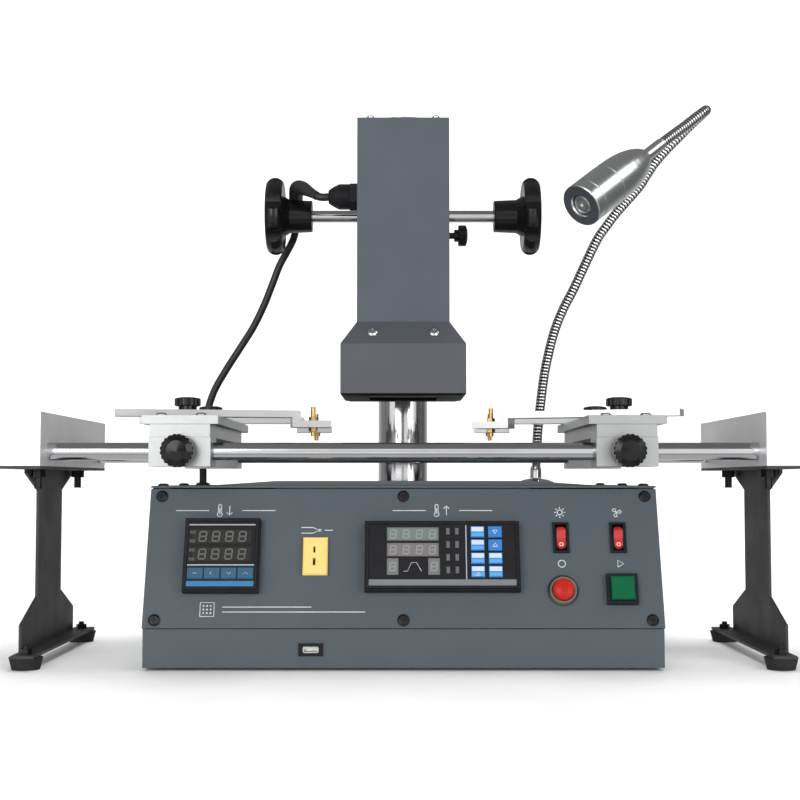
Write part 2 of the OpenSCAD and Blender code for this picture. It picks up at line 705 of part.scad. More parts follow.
// Black bezel that closes the hood, with a ledge for the heater tile
module heater_bezel() {
    lip = hood_s - 3.4;
    color("#17171a") difference() {
        union() {
            hood_form_low();
            slab(lip, head_back - lip / 2, lip, bezel_top - 0.5, bezel_top + 6);
        }
        slab(tile_s - 5, head_back - tile_s / 2 + 2.5, tile_s - 5, head_low - 1, bezel_top + 8);
        slab(tile_s + 0.8, head_back - tile_s / 2 - 0.4, tile_s + 0.8, head_low + 4, bezel_top + 8);
    }
}
module hood_form_low() {
    mirror_low = head_low + bezel_top;
    translate([0, 0, mirror_low]) mirror([0, 0, 1])
        hood_form(hood_s - 14, hood_s, head_low, head_low + 0.5, bezel_top);
}

// Ceramic heater tile with its coil ribs below and its terminal boss above
module upper_heater() {
    color("#d9d2c4") back(head_back, 0, head_low + 4) difference() {
        union() {
            block(tile_s, tile_s, 10);
            translate([0, 0, 10]) cylinder(h = 18, d = 26);
        }
        for (k = [-4 : 4]) translate([k * 8, 0, -1]) block(3.4, tile_s - 14, 2.4);
        for (side = [-1, 1]) translate([side * 6, 0, 14]) cylinder(h = 20, d = 3.6);
    }
}

// Fan frame hung under the head's top: a square shroud, a motor seat and four struts
module fan_frame() {
    fan_h = 25;
    top = head_top - 1.5;
    color("#26272b") back(head_back, 0, top - fan_h) {
        difference() {
            block(fan_s, fan_s, fan_h);
            translate([0, 0, -1]) cylinder(h = fan_h + 2, d = fan_s - 4);
            for (x = [-1, 1], y = [-1, 1]) translate([x * 35.75, y * 35.75, -1]) cylinder(h = fan_h + 2, d = 4.4);
        }
        difference() {
            union() {
                cylinder(h = 3, d = 34);
                for (k = [0 : 3]) rotate(45 + k * 90) translate([27, 0, 0]) block(24, 4, 3);
            }
            translate([0, 0, -1]) cylinder(h = 5, d = 3.06);
        }
    }
}

// Fan rotor: a capped hub on its pin and seven pitched blades
module fan_rotor() {
    low = head_top - 1.5 - 25 + 3.6;
    color("#1c1d20") back(head_back, 0, low) {
        cylinder(h = 19, d = 33);
        translate([0, 0, -3.6]) cylinder(h = 4, d = 3);
        intersection() {
            difference() {
                cylinder(h = 18, d = fan_s - 9);
                translate([0, 0, -1]) cylinder(h = 20, d = 32);
            }
            for (k = [0 : 6]) rotate(k * 360 / 7) translate([25, 0, 9]) rotate([48, 0, 0]) block_mid(24, 26, 1.6);
        }
    }
}
module block_mid(w, d, h) { translate([-w / 2, -d / 2, -h / 2]) cube([w, d, h]); }

// Wire guard over the fan: four rings on two crossed pairs of wires with an eye at each corner
module fan_guard() {
    wire = 1.8;
    color("silver") back(head_back, 0, head_top) {
        for (r = [11, 20, 29, 37]) rotate_extrude() translate([r, 3.4]) circle(d = wire, $fn = 16);
        for (k = [0 : 3]) rotate(45 + k * 90) {
            translate([9, 0, 2.2]) rotate([0, 90, 0]) cylinder(h = 35, d = wire, $fn = 16);
            translate([50.56, 0, 0]) difference() {
                cylinder(h = 3.1, d = 8.6);
                translate([0, 0, -1]) cylinder(h = 6, d = 4.4);
            }
            translate([43.5, 0, 0.8]) block(6.6, wire, wire);
        }
    }
}

// Chrome screws of the hood and of the fan guard
module head_screws() {
    color("silver") {
        for (x = [-33, 33], side = [-1, 1]) hood_screw_at(x, side) pan_screw(11, 3, 4, 6);
        for (x = [-1, 1], y = [-1, 1]) back(head_back + y * 35.75, x * 35.75, head_top + 3.1) pan_screw(8, 2.4, 4, 26);
    }
}

// Cable gland on the head's left side: a hexagon body, a domed nut and a lock nut inside
module cable_gland() {
    reach = -cable_route[0][0] - head_s / 2;
    color("black") back(gland_at[0], -head_s / 2, gland_at[1]) rotate([0, -90, 0]) {
        cylinder(h = 10, d = 31, $fn = 6);
        translate([0, 0, 10]) rotate_extrude() polygon([[0, 0], [14.4, 0], [14.4, 12], [11, 19], [7.4, reach - 10],
            [0, reach - 10]]);
        translate([0, 0, -9]) cylinder(h = 9, d = 20);
        translate([0, 0, -6.5]) cylinder(h = 5, d = 29, $fn = 6);
    }
}

// Rubber grommet where the cable goes into the base
module cable_grommet() {
    color("black") back(cable_end[1], cable_end[0], base_h) difference() {
        union() {
            rotate_extrude() polygon([[0, 0], [8.6, 0], [8.6, 1.2], [6.4, 3], [0, 3]]);
            translate([0, 0, -sheet - 2]) cylinder(h = sheet + 2, d = 16);
            translate([0, 0, -sheet - 2]) cylinder(h = 1.9, d = 20);
        }
        translate([0, 0, -sheet - 3]) cylinder(h = 5, d = 9);
    }
}

// The cable itself, a plain tube along its route
module head_cable() { color("#141416") translate([0, -origin_back, 0]) tube(cable_route, cable_d, 12); }

// Domed foot flange of the lamp, with the socket that its neck turns in
module lamp_flange() {
    r = lamp_foot_d / 2;
    color("silver") back(lamp_foot[1], lamp_foot[0], base_h) difference() {
        union() {
            rotate_extrude() polygon([[0, 0], [r, 0], [r, 1.5], [r * 0.86, 4], [r * 0.6, 6.4], [8, 8], [0, 8]]);
            translate([0, 0, -14]) cylinder(h = 14, d = 12);
        }
        translate([0, 0, -15]) cylinder(h = 30, d = 8.08);
    }
}

// Gooseneck: a pivot pin and ferrule at its foot, then the armoured tube along its bend
module gooseneck() {
    color("silver") {
        back(lamp_foot[1], lamp_foot[0], base_h) {
            translate([0, 0, -12]) cylinder(h = 26, d = 8);
            translate([0, 0, 8.3]) rotate_extrude() polygon([[0, 0], [7, 0], [7, 10], [6.2, 14], [0, 14]]);
        }
        translate([0, -origin_back, 0]) tube(neck_route, neck_d, 12);
    }
}

// Moves a shape so that its +Z points along the lamp's aim, from the rear of the lamp head
module along_lamp() {
    translate(lamp_rear - [0, origin_back, 0])
        rotate([0, acos(lamp_aim[2]), atan2(lamp_aim[1], lamp_aim[0])]) children();
}

// Turned lamp head: a long ferrule on the neck, an ogive tail, a grooved barrel and a recessed front
module lamp_body() {
    r = lamp_d / 2;
    l = lamp_len;
    bore = neck_d / 2 + 0.3;
    ogive = [for (t = [18 : 9 : 90]) [(r - 0.2) * sin(t), 71.5 - 67 * cos(t)]];
    color("gainsboro") along_lamp() rotate_extrude() polygon(concat([[0, 10], [bore, 10], [bore, -24],
        [bore + 1.2, -24], [bore + 1.2, 7.5]], ogive, [[r - 0.2, 82.6], [r - 1.1, 82.6], [r - 1.1, 84.1], [r, 84.1],
        [r, l - 15], [r - 1.1, l - 15], [r - 1.1, l - 13.5], [r, l - 13.5], [r, l - 1], [r - 1, l], [13.4, l],
        [12.4, l - 2], [12.4, l - 6], [0, l - 6]]));
}

// Lens of the lamp, seated in the recess of its front
module lamp_lens() {
    color("white") along_lamp() translate([0, 0, lamp_len - 6])
        rotate_extrude() polygon([[0, 0], [12, 0], [12, 2.6], [8, 4], [0, 4.8]]);
}

// End blocks that hold the rails, each with two blind bores
module end_blocks() {
    bore_l = 20;
    color("lightgray") for (side = [-1, 1]) difference() {
        back(block_front, side * (block_in + block_w / 2), block_low) translate([-block_w / 2, 0, 0])
            cube([block_w, block_back - block_front, block_high - block_low]);
        for (depth = [front_rail, rear_rail]) back(depth, side * (block_in + bore_l / 2), rail_z) rotate([0, 90, 0])
            translate([0, 0, -bore_l / 2 - (side > 0 ? 1 : 0)]) cylinder(h = bore_l + 1, d = rail_d + 0.04);
        for (depth = stud_back) back(depth, side * foot_x, block_low - 1) cylinder(h = 25, d = 8.4);
    }
}

// Folded steel legs: a top flange, a waisted web and a foot flange
module legs() {
    middle = (block_front + block_back) / 2;
    web_top = flange_low;
    flare_top = 66;
    flare_low = 42;
    color("#3c3c3e") for (side = [-1, 1]) difference() {
        union() {
            back(block_front, side * (block_in + block_w / 2), flange_low) translate([-block_w / 2, 0, 0])
                cube([block_w, block_back - block_front, leg_t]);
            translate([side * leg_x, 0, 0]) side_profile([[middle - 112, foot_h], [middle + 112, foot_h],
                [middle + 112, flare_low], [middle + 50.5, flare_top], [middle + 50.5, web_top - 22],
                [middle + 100, web_top - 4],
                [middle + 100, web_top + 1], [middle - 100, web_top + 1], [middle - 100, web_top - 4],
                [middle - 50.5, web_top - 22], [middle - 50.5, flare_top], [middle - 112, flare_low]], leg_t);
            back(foot_back[0] - 18, side * (leg_x - 10), foot_h) translate([-11.5, 0, 0])
                cube([23, foot_back[1] - foot_back[0] + 36, leg_t]);
        }
        for (depth = stud_back) back(depth, side * foot_x, flange_low - 1) cylinder(h = leg_t + 2, d = 8.4);
        for (depth = foot_back) back(depth, side * foot_x, foot_h - 1) cylinder(h = leg_t + 2, d = 6.6);
    }
}

// Ground guide rails
module rails() {
    length = 2 * (block_in + 20);
    color("silver") for (depth = [front_rail, rear_rail]) back(depth, -length / 2, rail_z) rotate([0, 90, 0])
        cylinder(h = length, d = rail_d);
}

// Studs and nuts of the legs: under the top flange and over each foot
module stand_bolts() {
    color("#1b1b1d") for (side = [-1, 1]) {
        for (depth = stud_back) back(depth, side * foot_x, flange_low) {
            translate([0, 0, -20]) cylinder(h = 40, d = 8);
            translate([0, 0, -8]) cylinder(h = 8, d = 15, $fn = 6);
        }
        for (depth = foot_back) back(depth, side * foot_x, foot_h + leg_t) {
            translate([0, 0, -leg_t]) cylinder(h = leg_t + 8, d = 6);
            cylinder(h = 5, d = 12, $fn = 6);
        }
    }
}

// Carriage on the rails: two rail blocks, a cross bar with the nut channel, and a slotted deck with its screws
module carriage() {
    deck_screws = [10, carriage_len - 10];
    color("gainsboro") {
        for (depth = [0, carriage_len - 44]) difference() {
            slab(carriage_w, depth, 44, carriage_low, carriage_top - seam);
            back(depth == 0 ? front_rail : rear_rail, -carriage_w, rail_z) rotate([0, 90, 0])
                cylinder(h = 2 * carriage_w, d = rail_d + 0.08);
            if (depth == 0) back(-1, 0, rail_z) rotate([-90, 0, 0]) cylinder(h = 20, d = 6.1);
        }
        difference() {
            slab(carriage_w - 1.2, 0.8, carriage_len - 1.6, carriage_top, bar_top);
            slab(channel_w, 20, carriage_len - 40, bar_top - 9, bar_top + 1);
        }
        difference() {
            slab(deck_w, 0, carriage_len, bar_top + seam, deck_top);
            slab(slot_w, 24, carriage_len - 48, bar_top - 1, deck_top + 1);
            for (x = [-20, 20], depth = deck_screws) back(depth, x, bar_top - 1) cylinder(h = 20, d = 4.2);
        }
        for (x = [-20, 20], depth = deck_screws) back(depth, x, deck_top + seam)
            pan_screw(11, 2.6, 4, deck_top - bar_top - 1);
    }
}
module left_carriage() { translate([-carriage_x, 0, 0]) carriage(); }
module right_carriage() { translate([carriage_x, 0, 0]) carriage(); }

// Knob that clamps a carriage to the front rail
module rail_knob() {
    color("black") back(-small, 0, rail_z) rotate([90, 0, 0]) {
        fluted_knob(33.4, 16, 18, knob_reach - 16 - small, 20, 3.4, 3);
        translate([0, 0, -13]) cylinder(h = 14, d = 6);
    }
}
module left_rail_knob() { translate([-carriage_x, 0, 0]) rail_knob(); }
module right_rail_knob() { translate([carriage_x, 0, 0]) rail_knob(); }

// Places of the four arm clamps, and the turn that points each arm to the middle
function clamp_x(k) = k < 2 ? -carriage_x : carriage_x;
function clamp_back(k) = k % 2 == 0 ? front_arm : rear_arm;
module at_clamp(k) { back(clamp_back(k), clamp_x(k)) children(); }

// T-bolt that slides in a carriage's channel and carries an arm and its knob
module arm_bolt(k) {
    color("silver") at_clamp(k) {
        translate([0, 0, bar_top - 7.3]) block(14, 20, 7);
        translate([0, 0, bar_top - small]) block(8, 12, deck_top - bar_top);
        translate([0, 0, deck_top - small]) cylinder(h = 14, d = 6);
    }
}
module left_front_bolt() { arm_bolt(0); }
module left_rear_bolt() { arm_bolt(1); }
module right_front_bolt() { arm_bolt(2); }
module right_rear_bolt() { arm_bolt(3); }

// Board arm: a bar that steps down to a tongue, with a brass pin held by two nuts
module board_arm(k) {
    reach = arm_reach - arm_shift[k];
    tail = arm_tail + arm_shift[k];
    step = reach - 23;
    color("whitesmoke") at_clamp(k) rotate(arm_angles[k] + (k < 2 ? 0 : 180)) {
        difference() {
            translate([0, arm_w / 2, 0]) rotate([90, 0, 0]) linear_extrude(arm_w) polygon([
                [-tail, arm_low], [step, arm_low], [step, tongue_low], [reach + 18, tongue_low],
                [reach + 18, tongue_low + arm_t], [step + 9, tongue_low + arm_t], [step + 9, arm_high - 1.5],
                [step + 7.5, arm_high], [-tail, arm_high]]);
            translate([0, 0, arm_low - 1]) cylinder(h = arm_t + 2, d = 6.12);
            translate([reach, 0, tongue_low - 1]) cylinder(h = arm_t + 2, d = 5.2);
        }
        translate([reach, 0, tongue_low - 9]) cylinder(h = 31, d = 5);
        for (z = [tongue_low - 4 - seam, tongue_low + arm_t + seam]) translate([reach, 0, z])
            cylinder(h = 4, d = 9.4, $fn = 6);
    }
}
module left_front_arm() { board_arm(0); }
module left_rear_arm() { board_arm(1); }
module right_front_arm() { board_arm(2); }
module right_rear_arm() { board_arm(3); }

// Fluted knob that clamps an arm to its T-bolt
module arm_knob(k) {
    low = arm_high + small;
    color("black") at_clamp(k) translate([0, 0, low]) difference() {
        fluted_knob(27, knob_top - low - 3.5, 19, 3.5, 16, 3, 1.2);
        translate([0, 0, -1]) cylinder(h = 8, d = 6.12);
    }
}
module left_front_knob() { arm_knob(0); }
module left_rear_knob() { arm_knob(1); }
module right_front_knob() { arm_knob(2); }
module right_rear_knob() { arm_knob(3); }

base_tray();
top_cover();
control_panel();
housing_screws();
rubber_feet();
lower_controller();
upper_controller();
sensor_socket();
usb_socket();
switch_bezels();
lighting_rocker();
fan_rocker();
stop_button();
start_button();
heater_tray();
heater_plates();
heater_guard();
relays();
power_inlet();
column();
swing_block();
swing_lock_knob();
pinion_shaft();
handwheels();
slide_rack();
head_shell();
head_hood();
heater_bezel();
upper_heater();
fan_frame();
fan_rotor();
fan_guard();
head_screws();
cable_gland();
cable_grommet();
head_cable();
lamp_flange();
gooseneck();
lamp_body();
lamp_lens();
end_blocks();
legs();
rails();
stand_bolts();
left_carriage();
right_carriage();
left_rail_knob();
right_rail_knob();
left_front_bolt();
left_front_arm();
left_front_knob();
left_rear_bolt();
left_rear_arm();
left_rear_knob();
right_front_bolt();
right_front_arm();
right_front_knob();
right_rear_bolt();
right_rear_arm();
right_rear_knob();
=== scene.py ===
"""Looks of an infrared rework station for ball-grid chips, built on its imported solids."""
import json
from math import acos, atan2, cos, pi, radians, sin

import bpy
from mathutils import Euler, Matrix, Vector


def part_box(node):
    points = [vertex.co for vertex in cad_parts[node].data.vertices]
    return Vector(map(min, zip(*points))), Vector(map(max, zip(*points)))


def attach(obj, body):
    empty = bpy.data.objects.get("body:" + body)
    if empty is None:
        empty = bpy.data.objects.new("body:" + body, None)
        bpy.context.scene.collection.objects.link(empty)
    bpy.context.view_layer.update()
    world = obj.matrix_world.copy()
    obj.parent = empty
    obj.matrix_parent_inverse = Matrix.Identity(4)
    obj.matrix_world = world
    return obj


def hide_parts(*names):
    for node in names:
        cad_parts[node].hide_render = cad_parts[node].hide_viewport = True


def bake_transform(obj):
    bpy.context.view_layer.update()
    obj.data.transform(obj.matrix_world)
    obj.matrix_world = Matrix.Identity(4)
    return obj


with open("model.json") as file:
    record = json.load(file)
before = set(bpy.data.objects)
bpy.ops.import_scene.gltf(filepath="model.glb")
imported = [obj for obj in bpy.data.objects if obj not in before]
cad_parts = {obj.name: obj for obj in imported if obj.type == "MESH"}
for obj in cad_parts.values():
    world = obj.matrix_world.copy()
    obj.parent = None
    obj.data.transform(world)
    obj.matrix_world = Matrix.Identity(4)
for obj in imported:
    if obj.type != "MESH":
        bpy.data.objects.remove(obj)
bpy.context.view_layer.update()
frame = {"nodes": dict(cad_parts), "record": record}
nodes = frame["nodes"]

# The studio: a pale bench top that curves up into a backdrop, under large soft boxes.
# The camera stands 1.4 m in front of the base, level with its cover, and looks slightly up.
front_edge = -0.190
bench_w, bench_front, bench_back, backdrop_h, backdrop_curve = 7.0, -3.2, 1.9, 4.2, 1.0
bpy.ops.object.select_all(action="DESELECT")
bpy.ops.mesh.primitive_plane_add(size=1, location=(0, (bench_front + bench_back) / 2, 0))
bench = bpy.context.object
bench.name = "bench"
bench.scale = (bench_w, bench_back - bench_front, 1)
bpy.ops.object.transform_apply(location=True, rotation=True, scale=True)


def pick_edges(test, *pieces):
    """Selects the edges whose two ends pass a test, in Edit mode."""
    bpy.ops.object.mode_set(mode="EDIT")
    bpy.ops.mesh.select_mode(type="EDGE")
    bpy.ops.mesh.select_all(action="DESELECT")
    bpy.ops.object.mode_set(mode="OBJECT")
    for piece in pieces:
        for edge in piece.data.edges:
            edge.select = test(*(piece.data.vertices[v].co for v in edge.vertices))
    bpy.ops.object.mode_set(mode="EDIT")


def at_back(*ends):
    """Whether all the points lie along the bench's back edge."""
    return all(end.y > bench_back - 0.01 for end in ends)


pick_edges(at_back, bench)
bpy.ops.mesh.extrude_region_move(TRANSFORM_OT_translate={"value": (0, 0, backdrop_h)})
pick_edges(lambda a, b: at_back(a, b) and max(a.z, b.z) < 0.01, bench)
bpy.ops.mesh.bevel(offset=backdrop_curve, segments=12, affect="EDGES")
bpy.ops.object.mode_set(mode="OBJECT")
bpy.ops.object.shade_smooth()
bench.visible_glossy = False

camera_off, camera_height, camera_tilt = 1.4, 0.189, 3.27
camera_data = bpy.data.cameras.new("camera")
camera_data.lens, camera_data.sensor_width = 63.0, 36.0
camera = bpy.data.objects.new("camera", camera_data)
camera.location = (-0.0035, front_edge - camera_off, camera_height)
camera.rotation_euler = (radians(90 + camera_tilt), 0, 0)
bpy.context.scene.collection.objects.link(camera)
bpy.context.scene.camera = camera


def soft_box(name, place, aim, size, power, mirrored=True):
    """Hangs a square soft box, size in metres and power in watts. It may be kept out of reflections."""
    light = bpy.data.lights.new(name, "AREA")
    light.shape, light.size, light.energy = "SQUARE", size, power
    lamp = bpy.data.objects.new(name, light)
    lamp.location = place
    lamp.rotation_euler = (Vector(aim) - Vector(place)).to_track_quat("-Z", "Y").to_euler()
    lamp.visible_glossy = mirrored
    bpy.context.scene.collection.objects.link(lamp)


soft_box("key", (-1.1, -2.6, 0.9), (0, -0.05, 0.25), 1.3, 24)
soft_box("fill", (1.6, -2.1, 0.7), (0, 0, 0.25), 1.2, 14)
soft_box("edge", (1.7, -0.5, 1.6), (0.2, -0.05, 0.4), 0.8, 7)
soft_box("top", (0, 0.1, 2.4), (0, 0, 0.2), 1.5, 2, False)
soft_box("sweep", (0, 0.9, 3.4), (0, 1.8, 0.6), 2.4, 95, False)


class Shade:
    """A shader socket that takes part in sums: each operator adds a Math node."""

    def __init__(self, finish, socket):
        self.finish, self.socket = finish, socket

    def maths(self, operation, first, second=0.0):
        return self.finish.node("Math", {"operation": operation}, {0: first, 1: second})

    def __add__(self, other):
        return self.maths("ADD", self, other)

    def __sub__(self, other):
        return self.maths("SUBTRACT", self, other)

    def __rsub__(self, other):
        return self.maths("SUBTRACT", other, self)

    def __mul__(self, other):
        return self.maths("MULTIPLY", self, other)

    def __rmul__(self, other):
        return self.maths("MULTIPLY", other, self)

    def __gt__(self, other):
        return self.maths("GREATER_THAN", self, other)

    def __lt__(self, other):
        return self.maths("LESS_THAN", self, other)

    def __abs__(self):
        return self.maths("ABSOLUTE", self)

    def root(self):
        return self.maths("SQRT", self)


class Tree:
    """A node tree, with one method for its nodes."""

    def __init__(self, tree):
        self.tree = tree

    def node(self, kind, settings, sockets, output=0):
        """Adds a node: its settings first, then the values or links of its sockets."""
        made = self.tree.nodes.new("ShaderNode" + kind)
        for key, value in settings.items():
            if key == "stops":
                for index, (stop, colour) in enumerate(value):
                    points = made.color_ramp.elements
                    point = points[index] if index < 2 else points.new(stop)
                    point.position, point.color = stop, (*colour, 1)
            else:
                setattr(made, key, value)
        for key, value in sockets.items():
            self.feed(made.inputs[key], value)
        return Shade(self, made.outputs[output])

    def feed(self, entry, value):
        if isinstance(value, Shade):
            self.tree.links.new(value.socket, entry)
        else:
            entry.default_value = value

    def parts(self, vector):
        """The three numbers of a vector."""
        split = self.node("SeparateXYZ", {}, {0: vector})
        return [Shade(self, output) for output in split.socket.node.outputs]

    def range(self, value, low, high, to_low, to_high):
        return self.node("MapRange", {"clamp": True}, {0: value, 1: low, 2: high, 3: to_low, 4: to_high})


# The room round the bench: a bright wall behind the camera, with the dark camera in its middle, dark sides
# and a dim ceiling, so that chrome shows bright and dark bands. The camera itself sees it white. A direction
# has three parts: across to the right, deep away from the camera, and up.
world = bpy.data.worlds.new("studio")
world.use_nodes = True
room = Tree(world.node_tree)
across, deep, up = room.parts(room.node("TexCoord", {}, {}, "Generated"))
stand = (abs(across) < 0.09) * (abs(up - 0.05) < 0.045)
wall = room.range(abs(across) + deep * 2, -0.10, 0.15, 0.92, 0)
wall = wall * room.range(up, 0.42, 0.58, 1, 0) * (1 - stand) * room.range(up, -0.52, -0.46, 0, 1)
sides = room.range(across, -1, 1, 0.30, 0.14)
rear = room.range(deep, 0.45, 0.85, 0, 0.40) * room.range(up, 0.10, 0.40, 1, 0)
floor = room.range(up, -0.68, -0.58, 0.42, 0)
seen = room.node("LightPath", {}, {}, "Is Camera Ray")
background = world.node_tree.nodes["Background"]
room.feed(background.inputs["Strength"], seen + (1 - seen) * (sides + wall + rear + floor))
room.feed(background.inputs["Color"], (1, 1, 1, 1))
bpy.context.scene.world = world
bpy.context.scene.view_settings.view_transform = "Standard"


# Folded steel housing with a fine slate-grey powder coat: the tray, the sloped panel and the top cover.
# The coat has the orange peel of baked powder, and faint rubbing where hands and boards pass.
class Finish(Tree):
    """One material, with the Principled shader ready and Object coordinates at hand."""

    def __init__(self, name, **sockets):
        self.material = bpy.data.materials.new(name)
        self.material.use_nodes = True
        super().__init__(self.material.node_tree)
        self.shader = self.tree.nodes["Principled BSDF"]
        self.place = self.node("TexCoord", {}, {}, "Object")
        self.set(**sockets)

    def set(self, **sockets):
        """Sets the Principled shader's sockets, with _ for a blank in their names."""
        for key, value in sockets.items():
            self.feed(self.shader.inputs[key.replace("_", " ")], value)

    def noise(self, scale, detail=2.0, rough=0.5, stretch=(1, 1, 1)):
        """Noise of so many grains a metre, stretched along the axes."""
        where = self.node("Mapping", {}, {"Vector": self.place, "Scale": stretch})
        return self.node("TexNoise", {}, {"Vector": where, "Scale": scale, "Detail": detail,
                                          "Roughness": rough})

    def blend(self, factor, first, second):
        """Mixes two colours."""
        colours = [c if isinstance(c, Shade) else (*c, 1) for c in (first, second)]
        return self.node("Mix", {"data_type": "RGBA"}, {0: factor, 6: colours[0], 7: colours[1]}, 2)

    def bump(self, height, strength, distance):
        """Feeds a height to the normal, over edges that are slightly rounded."""
        rounded = self.node("Bevel", {"samples": 4}, {"Radius": 0.0005})
        self.set(Normal=self.node("Bump", {}, {"Strength": strength, "Distance": distance, "Height": height,
                                               "Normal": rounded}))


def powder_coat(name, colour, rough, peel=0.3):
    """Baked powder coat: orange peel, a faint mottle and slightly polished patches."""
    coat = Finish(name)
    mottle = coat.noise(9, 4)
    dust = coat.noise(420, 2)
    dark, light = [c * 0.90 for c in colour], [min(1, c * 1.10) for c in colour]
    coat.set(Base_Color=coat.blend(0.75 * mottle + 0.25 * dust, dark, light),
             Roughness=coat.range(coat.noise(26, 3), 0.3, 0.7, rough - 0.06, rough + 0.06))
    coat.bump(coat.noise(1100, 2), peel, 0.0004)
    return coat


def dress(finish, *names):
    """Gives CAD nodes or pieces a finish."""
    for name in names:
        piece = nodes[name] if isinstance(name, str) else name
        piece.data.materials.clear()
        piece.data.materials.append(finish.material)


paper = powder_coat("bench_paper", (0.90, 0.90, 0.90), 0.85, 0.05)
dress(paper, bench)
slate = powder_coat("slate_powder_coat", (0.058, 0.075, 0.091), 0.52)
dress(slate, "base_tray", "top_cover", "control_panel")

# Black oxide pan-head screws of the housing, and the rubber pads and feet that everything stands on.
# The screws are slightly oily; the rubber is moulded, dull and dusty.
oxide = Finish("black_oxide", Metallic=0.85)
oxide.set(Base_Color=oxide.blend(oxide.noise(160, 3), (0.012, 0.012, 0.014), (0.045, 0.045, 0.050)),
          Roughness=oxide.range(oxide.noise(300, 2), 0.3, 0.7, 0.30, 0.48))
oxide.bump(oxide.noise(1500, 2), 0.15, 0.0003)
dress(oxide, "housing_screws", "stand_bolts")

rubber = Finish("moulded_rubber", Specular_IOR_Level=0.2)
rubber.set(Base_Color=rubber.blend(rubber.noise(70, 4), (0.012, 0.012, 0.012), (0.034, 0.033, 0.032)),
           Roughness=rubber.range(rubber.noise(40, 3), 0.3, 0.7, 0.62, 0.82))
rubber.bump(rubber.noise(900, 3), 0.3, 0.0004)
dress(rubber, "rubber_feet", "cable_grommet")

# White screen-printed signs on the sloped panel, one for each device: plain pictograms of a chip with
# its balls, thermometers, a sensor wire, a lamp, a fan, and the ring and triangle of the two buttons.
sill_height, slope_run, slope_rise = 0.042, 47, 141
lower_at, upper_at = (-183, 73), (39, 72)
lighting_u, fan_u, rocker_w, button_w = 160, 218, 93, 38
heading_w, rocker_sign_w, button_sign_w = 122, 120, 66


def on_panel(u, w, out=0.0):
    """A place on the sloped panel, in millimetres across, up the slope and outwards."""
    corner = Matrix.Translation((0, front_edge, sill_height))
    lean = Matrix.Rotation(atan2(slope_rise, slope_run), 4, "X")
    return corner @ lean @ Matrix.Translation(Vector((u, w, out)) / 1000)


def arc(u, w, r, start=0, end=360, count=20):
    """Points along an arc, angles in degrees."""
    turns = [radians(start + (end - start) * k / count) for k in range(count + 1)]
    return [(u + r * cos(t), w + r * sin(t)) for t in turns]


def line_print(name, lines, place, ink, width=1.1):
    """Flat print of lines on a surface: each line is its points, in millimetres."""
    curve = bpy.data.curves.new(name, "CURVE")
    curve.dimensions, curve.bevel_depth, curve.bevel_resolution = "3D", width / 2000, 1
    curve.use_fill_caps = True
    for points in lines:
        spline = curve.splines.new("POLY")
        spline.points.add(len(points) - 1)
        for point, (u, w) in zip(spline.points, points):
            point.co = (u / 1000, w / 1000, 0, 1)
    piece = bpy.data.objects.new(name, curve)
    bpy.context.scene.collection.objects.link(piece)
    bpy.ops.object.select_all(action="DESELECT")
    piece.select_set(True)
    bpy.context.view_layer.objects.active = piece
    bpy.ops.object.convert(target="MESH")
    piece = bpy.context.object
    piece.data.transform(place @ Matrix.Diagonal((1, 1, 0.22, 1)))
    dress(ink, piece)
    return piece


def thermometer(u, w):
    """Lines of a thermometer sign, 13 mm high."""
    bulb, top = arc(u, w - 4, 2.4, 128, 412), arc(u, w + 5, 1.5, 0, 180, 8)
    return [bulb + [(u + 1.5, w + 5)] + top + [(u - 1.5, w - 2.1)], [(u, w - 4), (u, w + 2.5)]]


def fan_blade(u, w, turn):
    """Outline of one blade of a fan sign."""
    return [(u + r * cos(radians(turn + a)), w + r * sin(radians(turn + a)))
            for r, a in ((1.2, 0), (3.6, -22), (5.0, 8), (4.6, 34), (2.6, 40), (1.2, 0))]


white_ink = Finish("white_print")
white_ink.set(Base_Color=white_ink.blend(white_ink.noise(500, 3), (0.60, 0.63, 0.65), (0.80, 0.82, 0.84)),
              Roughness=white_ink.range(white_ink.noise(120, 2), 0.3, 0.7, 0.40, 0.55))
white_ink.bump(white_ink.noise(1800, 2), 0.10, 0.0001)
chip_u, chip_w, chip_half, ball_pitch = -196, 19, 7, 3.6
corners = ((-1, -1), (1, -1), (1, 1), (-1, 1), (-1, -1))
signs = [[(chip_u + chip_half * i, chip_w + chip_half * j) for i, j in corners]]
signs += [arc(chip_u + ball_pitch * i, chip_w + ball_pitch * j, 0.55, count=8)
          for i in (-1, 0, 1) for j in (-1, 0, 1)]
signs += [[(-181, 21.5), (-92, 21.5)], [(-181, 16.5), (-38, 16.5)]]
for (device_u, _), way in ((lower_at, -1), (upper_at, 1)):
    shaft_u, tip_w, barb_w = device_u + 5, heading_w + 5 * way, heading_w + 2 * way
    signs += thermometer(device_u - 5, heading_w)
    signs += [[(shaft_u, heading_w - 5 * way), (shaft_u, tip_w)],
              [(shaft_u - 3, barb_w), (shaft_u, tip_w), (shaft_u + 3, barb_w)],
              [(device_u - 50, heading_w), (device_u - 16, heading_w)],
              [(device_u + 18, heading_w), (device_u + 52, heading_w)]]
signs += [[(-104, 104), (-92, 104), (-86, 101), (-92, 98), (-104, 98)], arc(-85, 101, 1.1, count=10),
          [(-80, 101), (-72, 101)]]
signs += [arc(lighting_u, rocker_sign_w, 2.6)]
signs += [[(lighting_u + r * cos(radians(t)), rocker_sign_w + r * sin(radians(t))) for r in (3.9, 5.8)]
          for t in range(0, 360, 45)]
signs += [fan_blade(fan_u, rocker_sign_w, turn) for turn in (0, 120, 240)]
signs += [arc(fan_u, rocker_sign_w, 0.6, count=8), arc(lighting_u, button_sign_w, 3.6)]
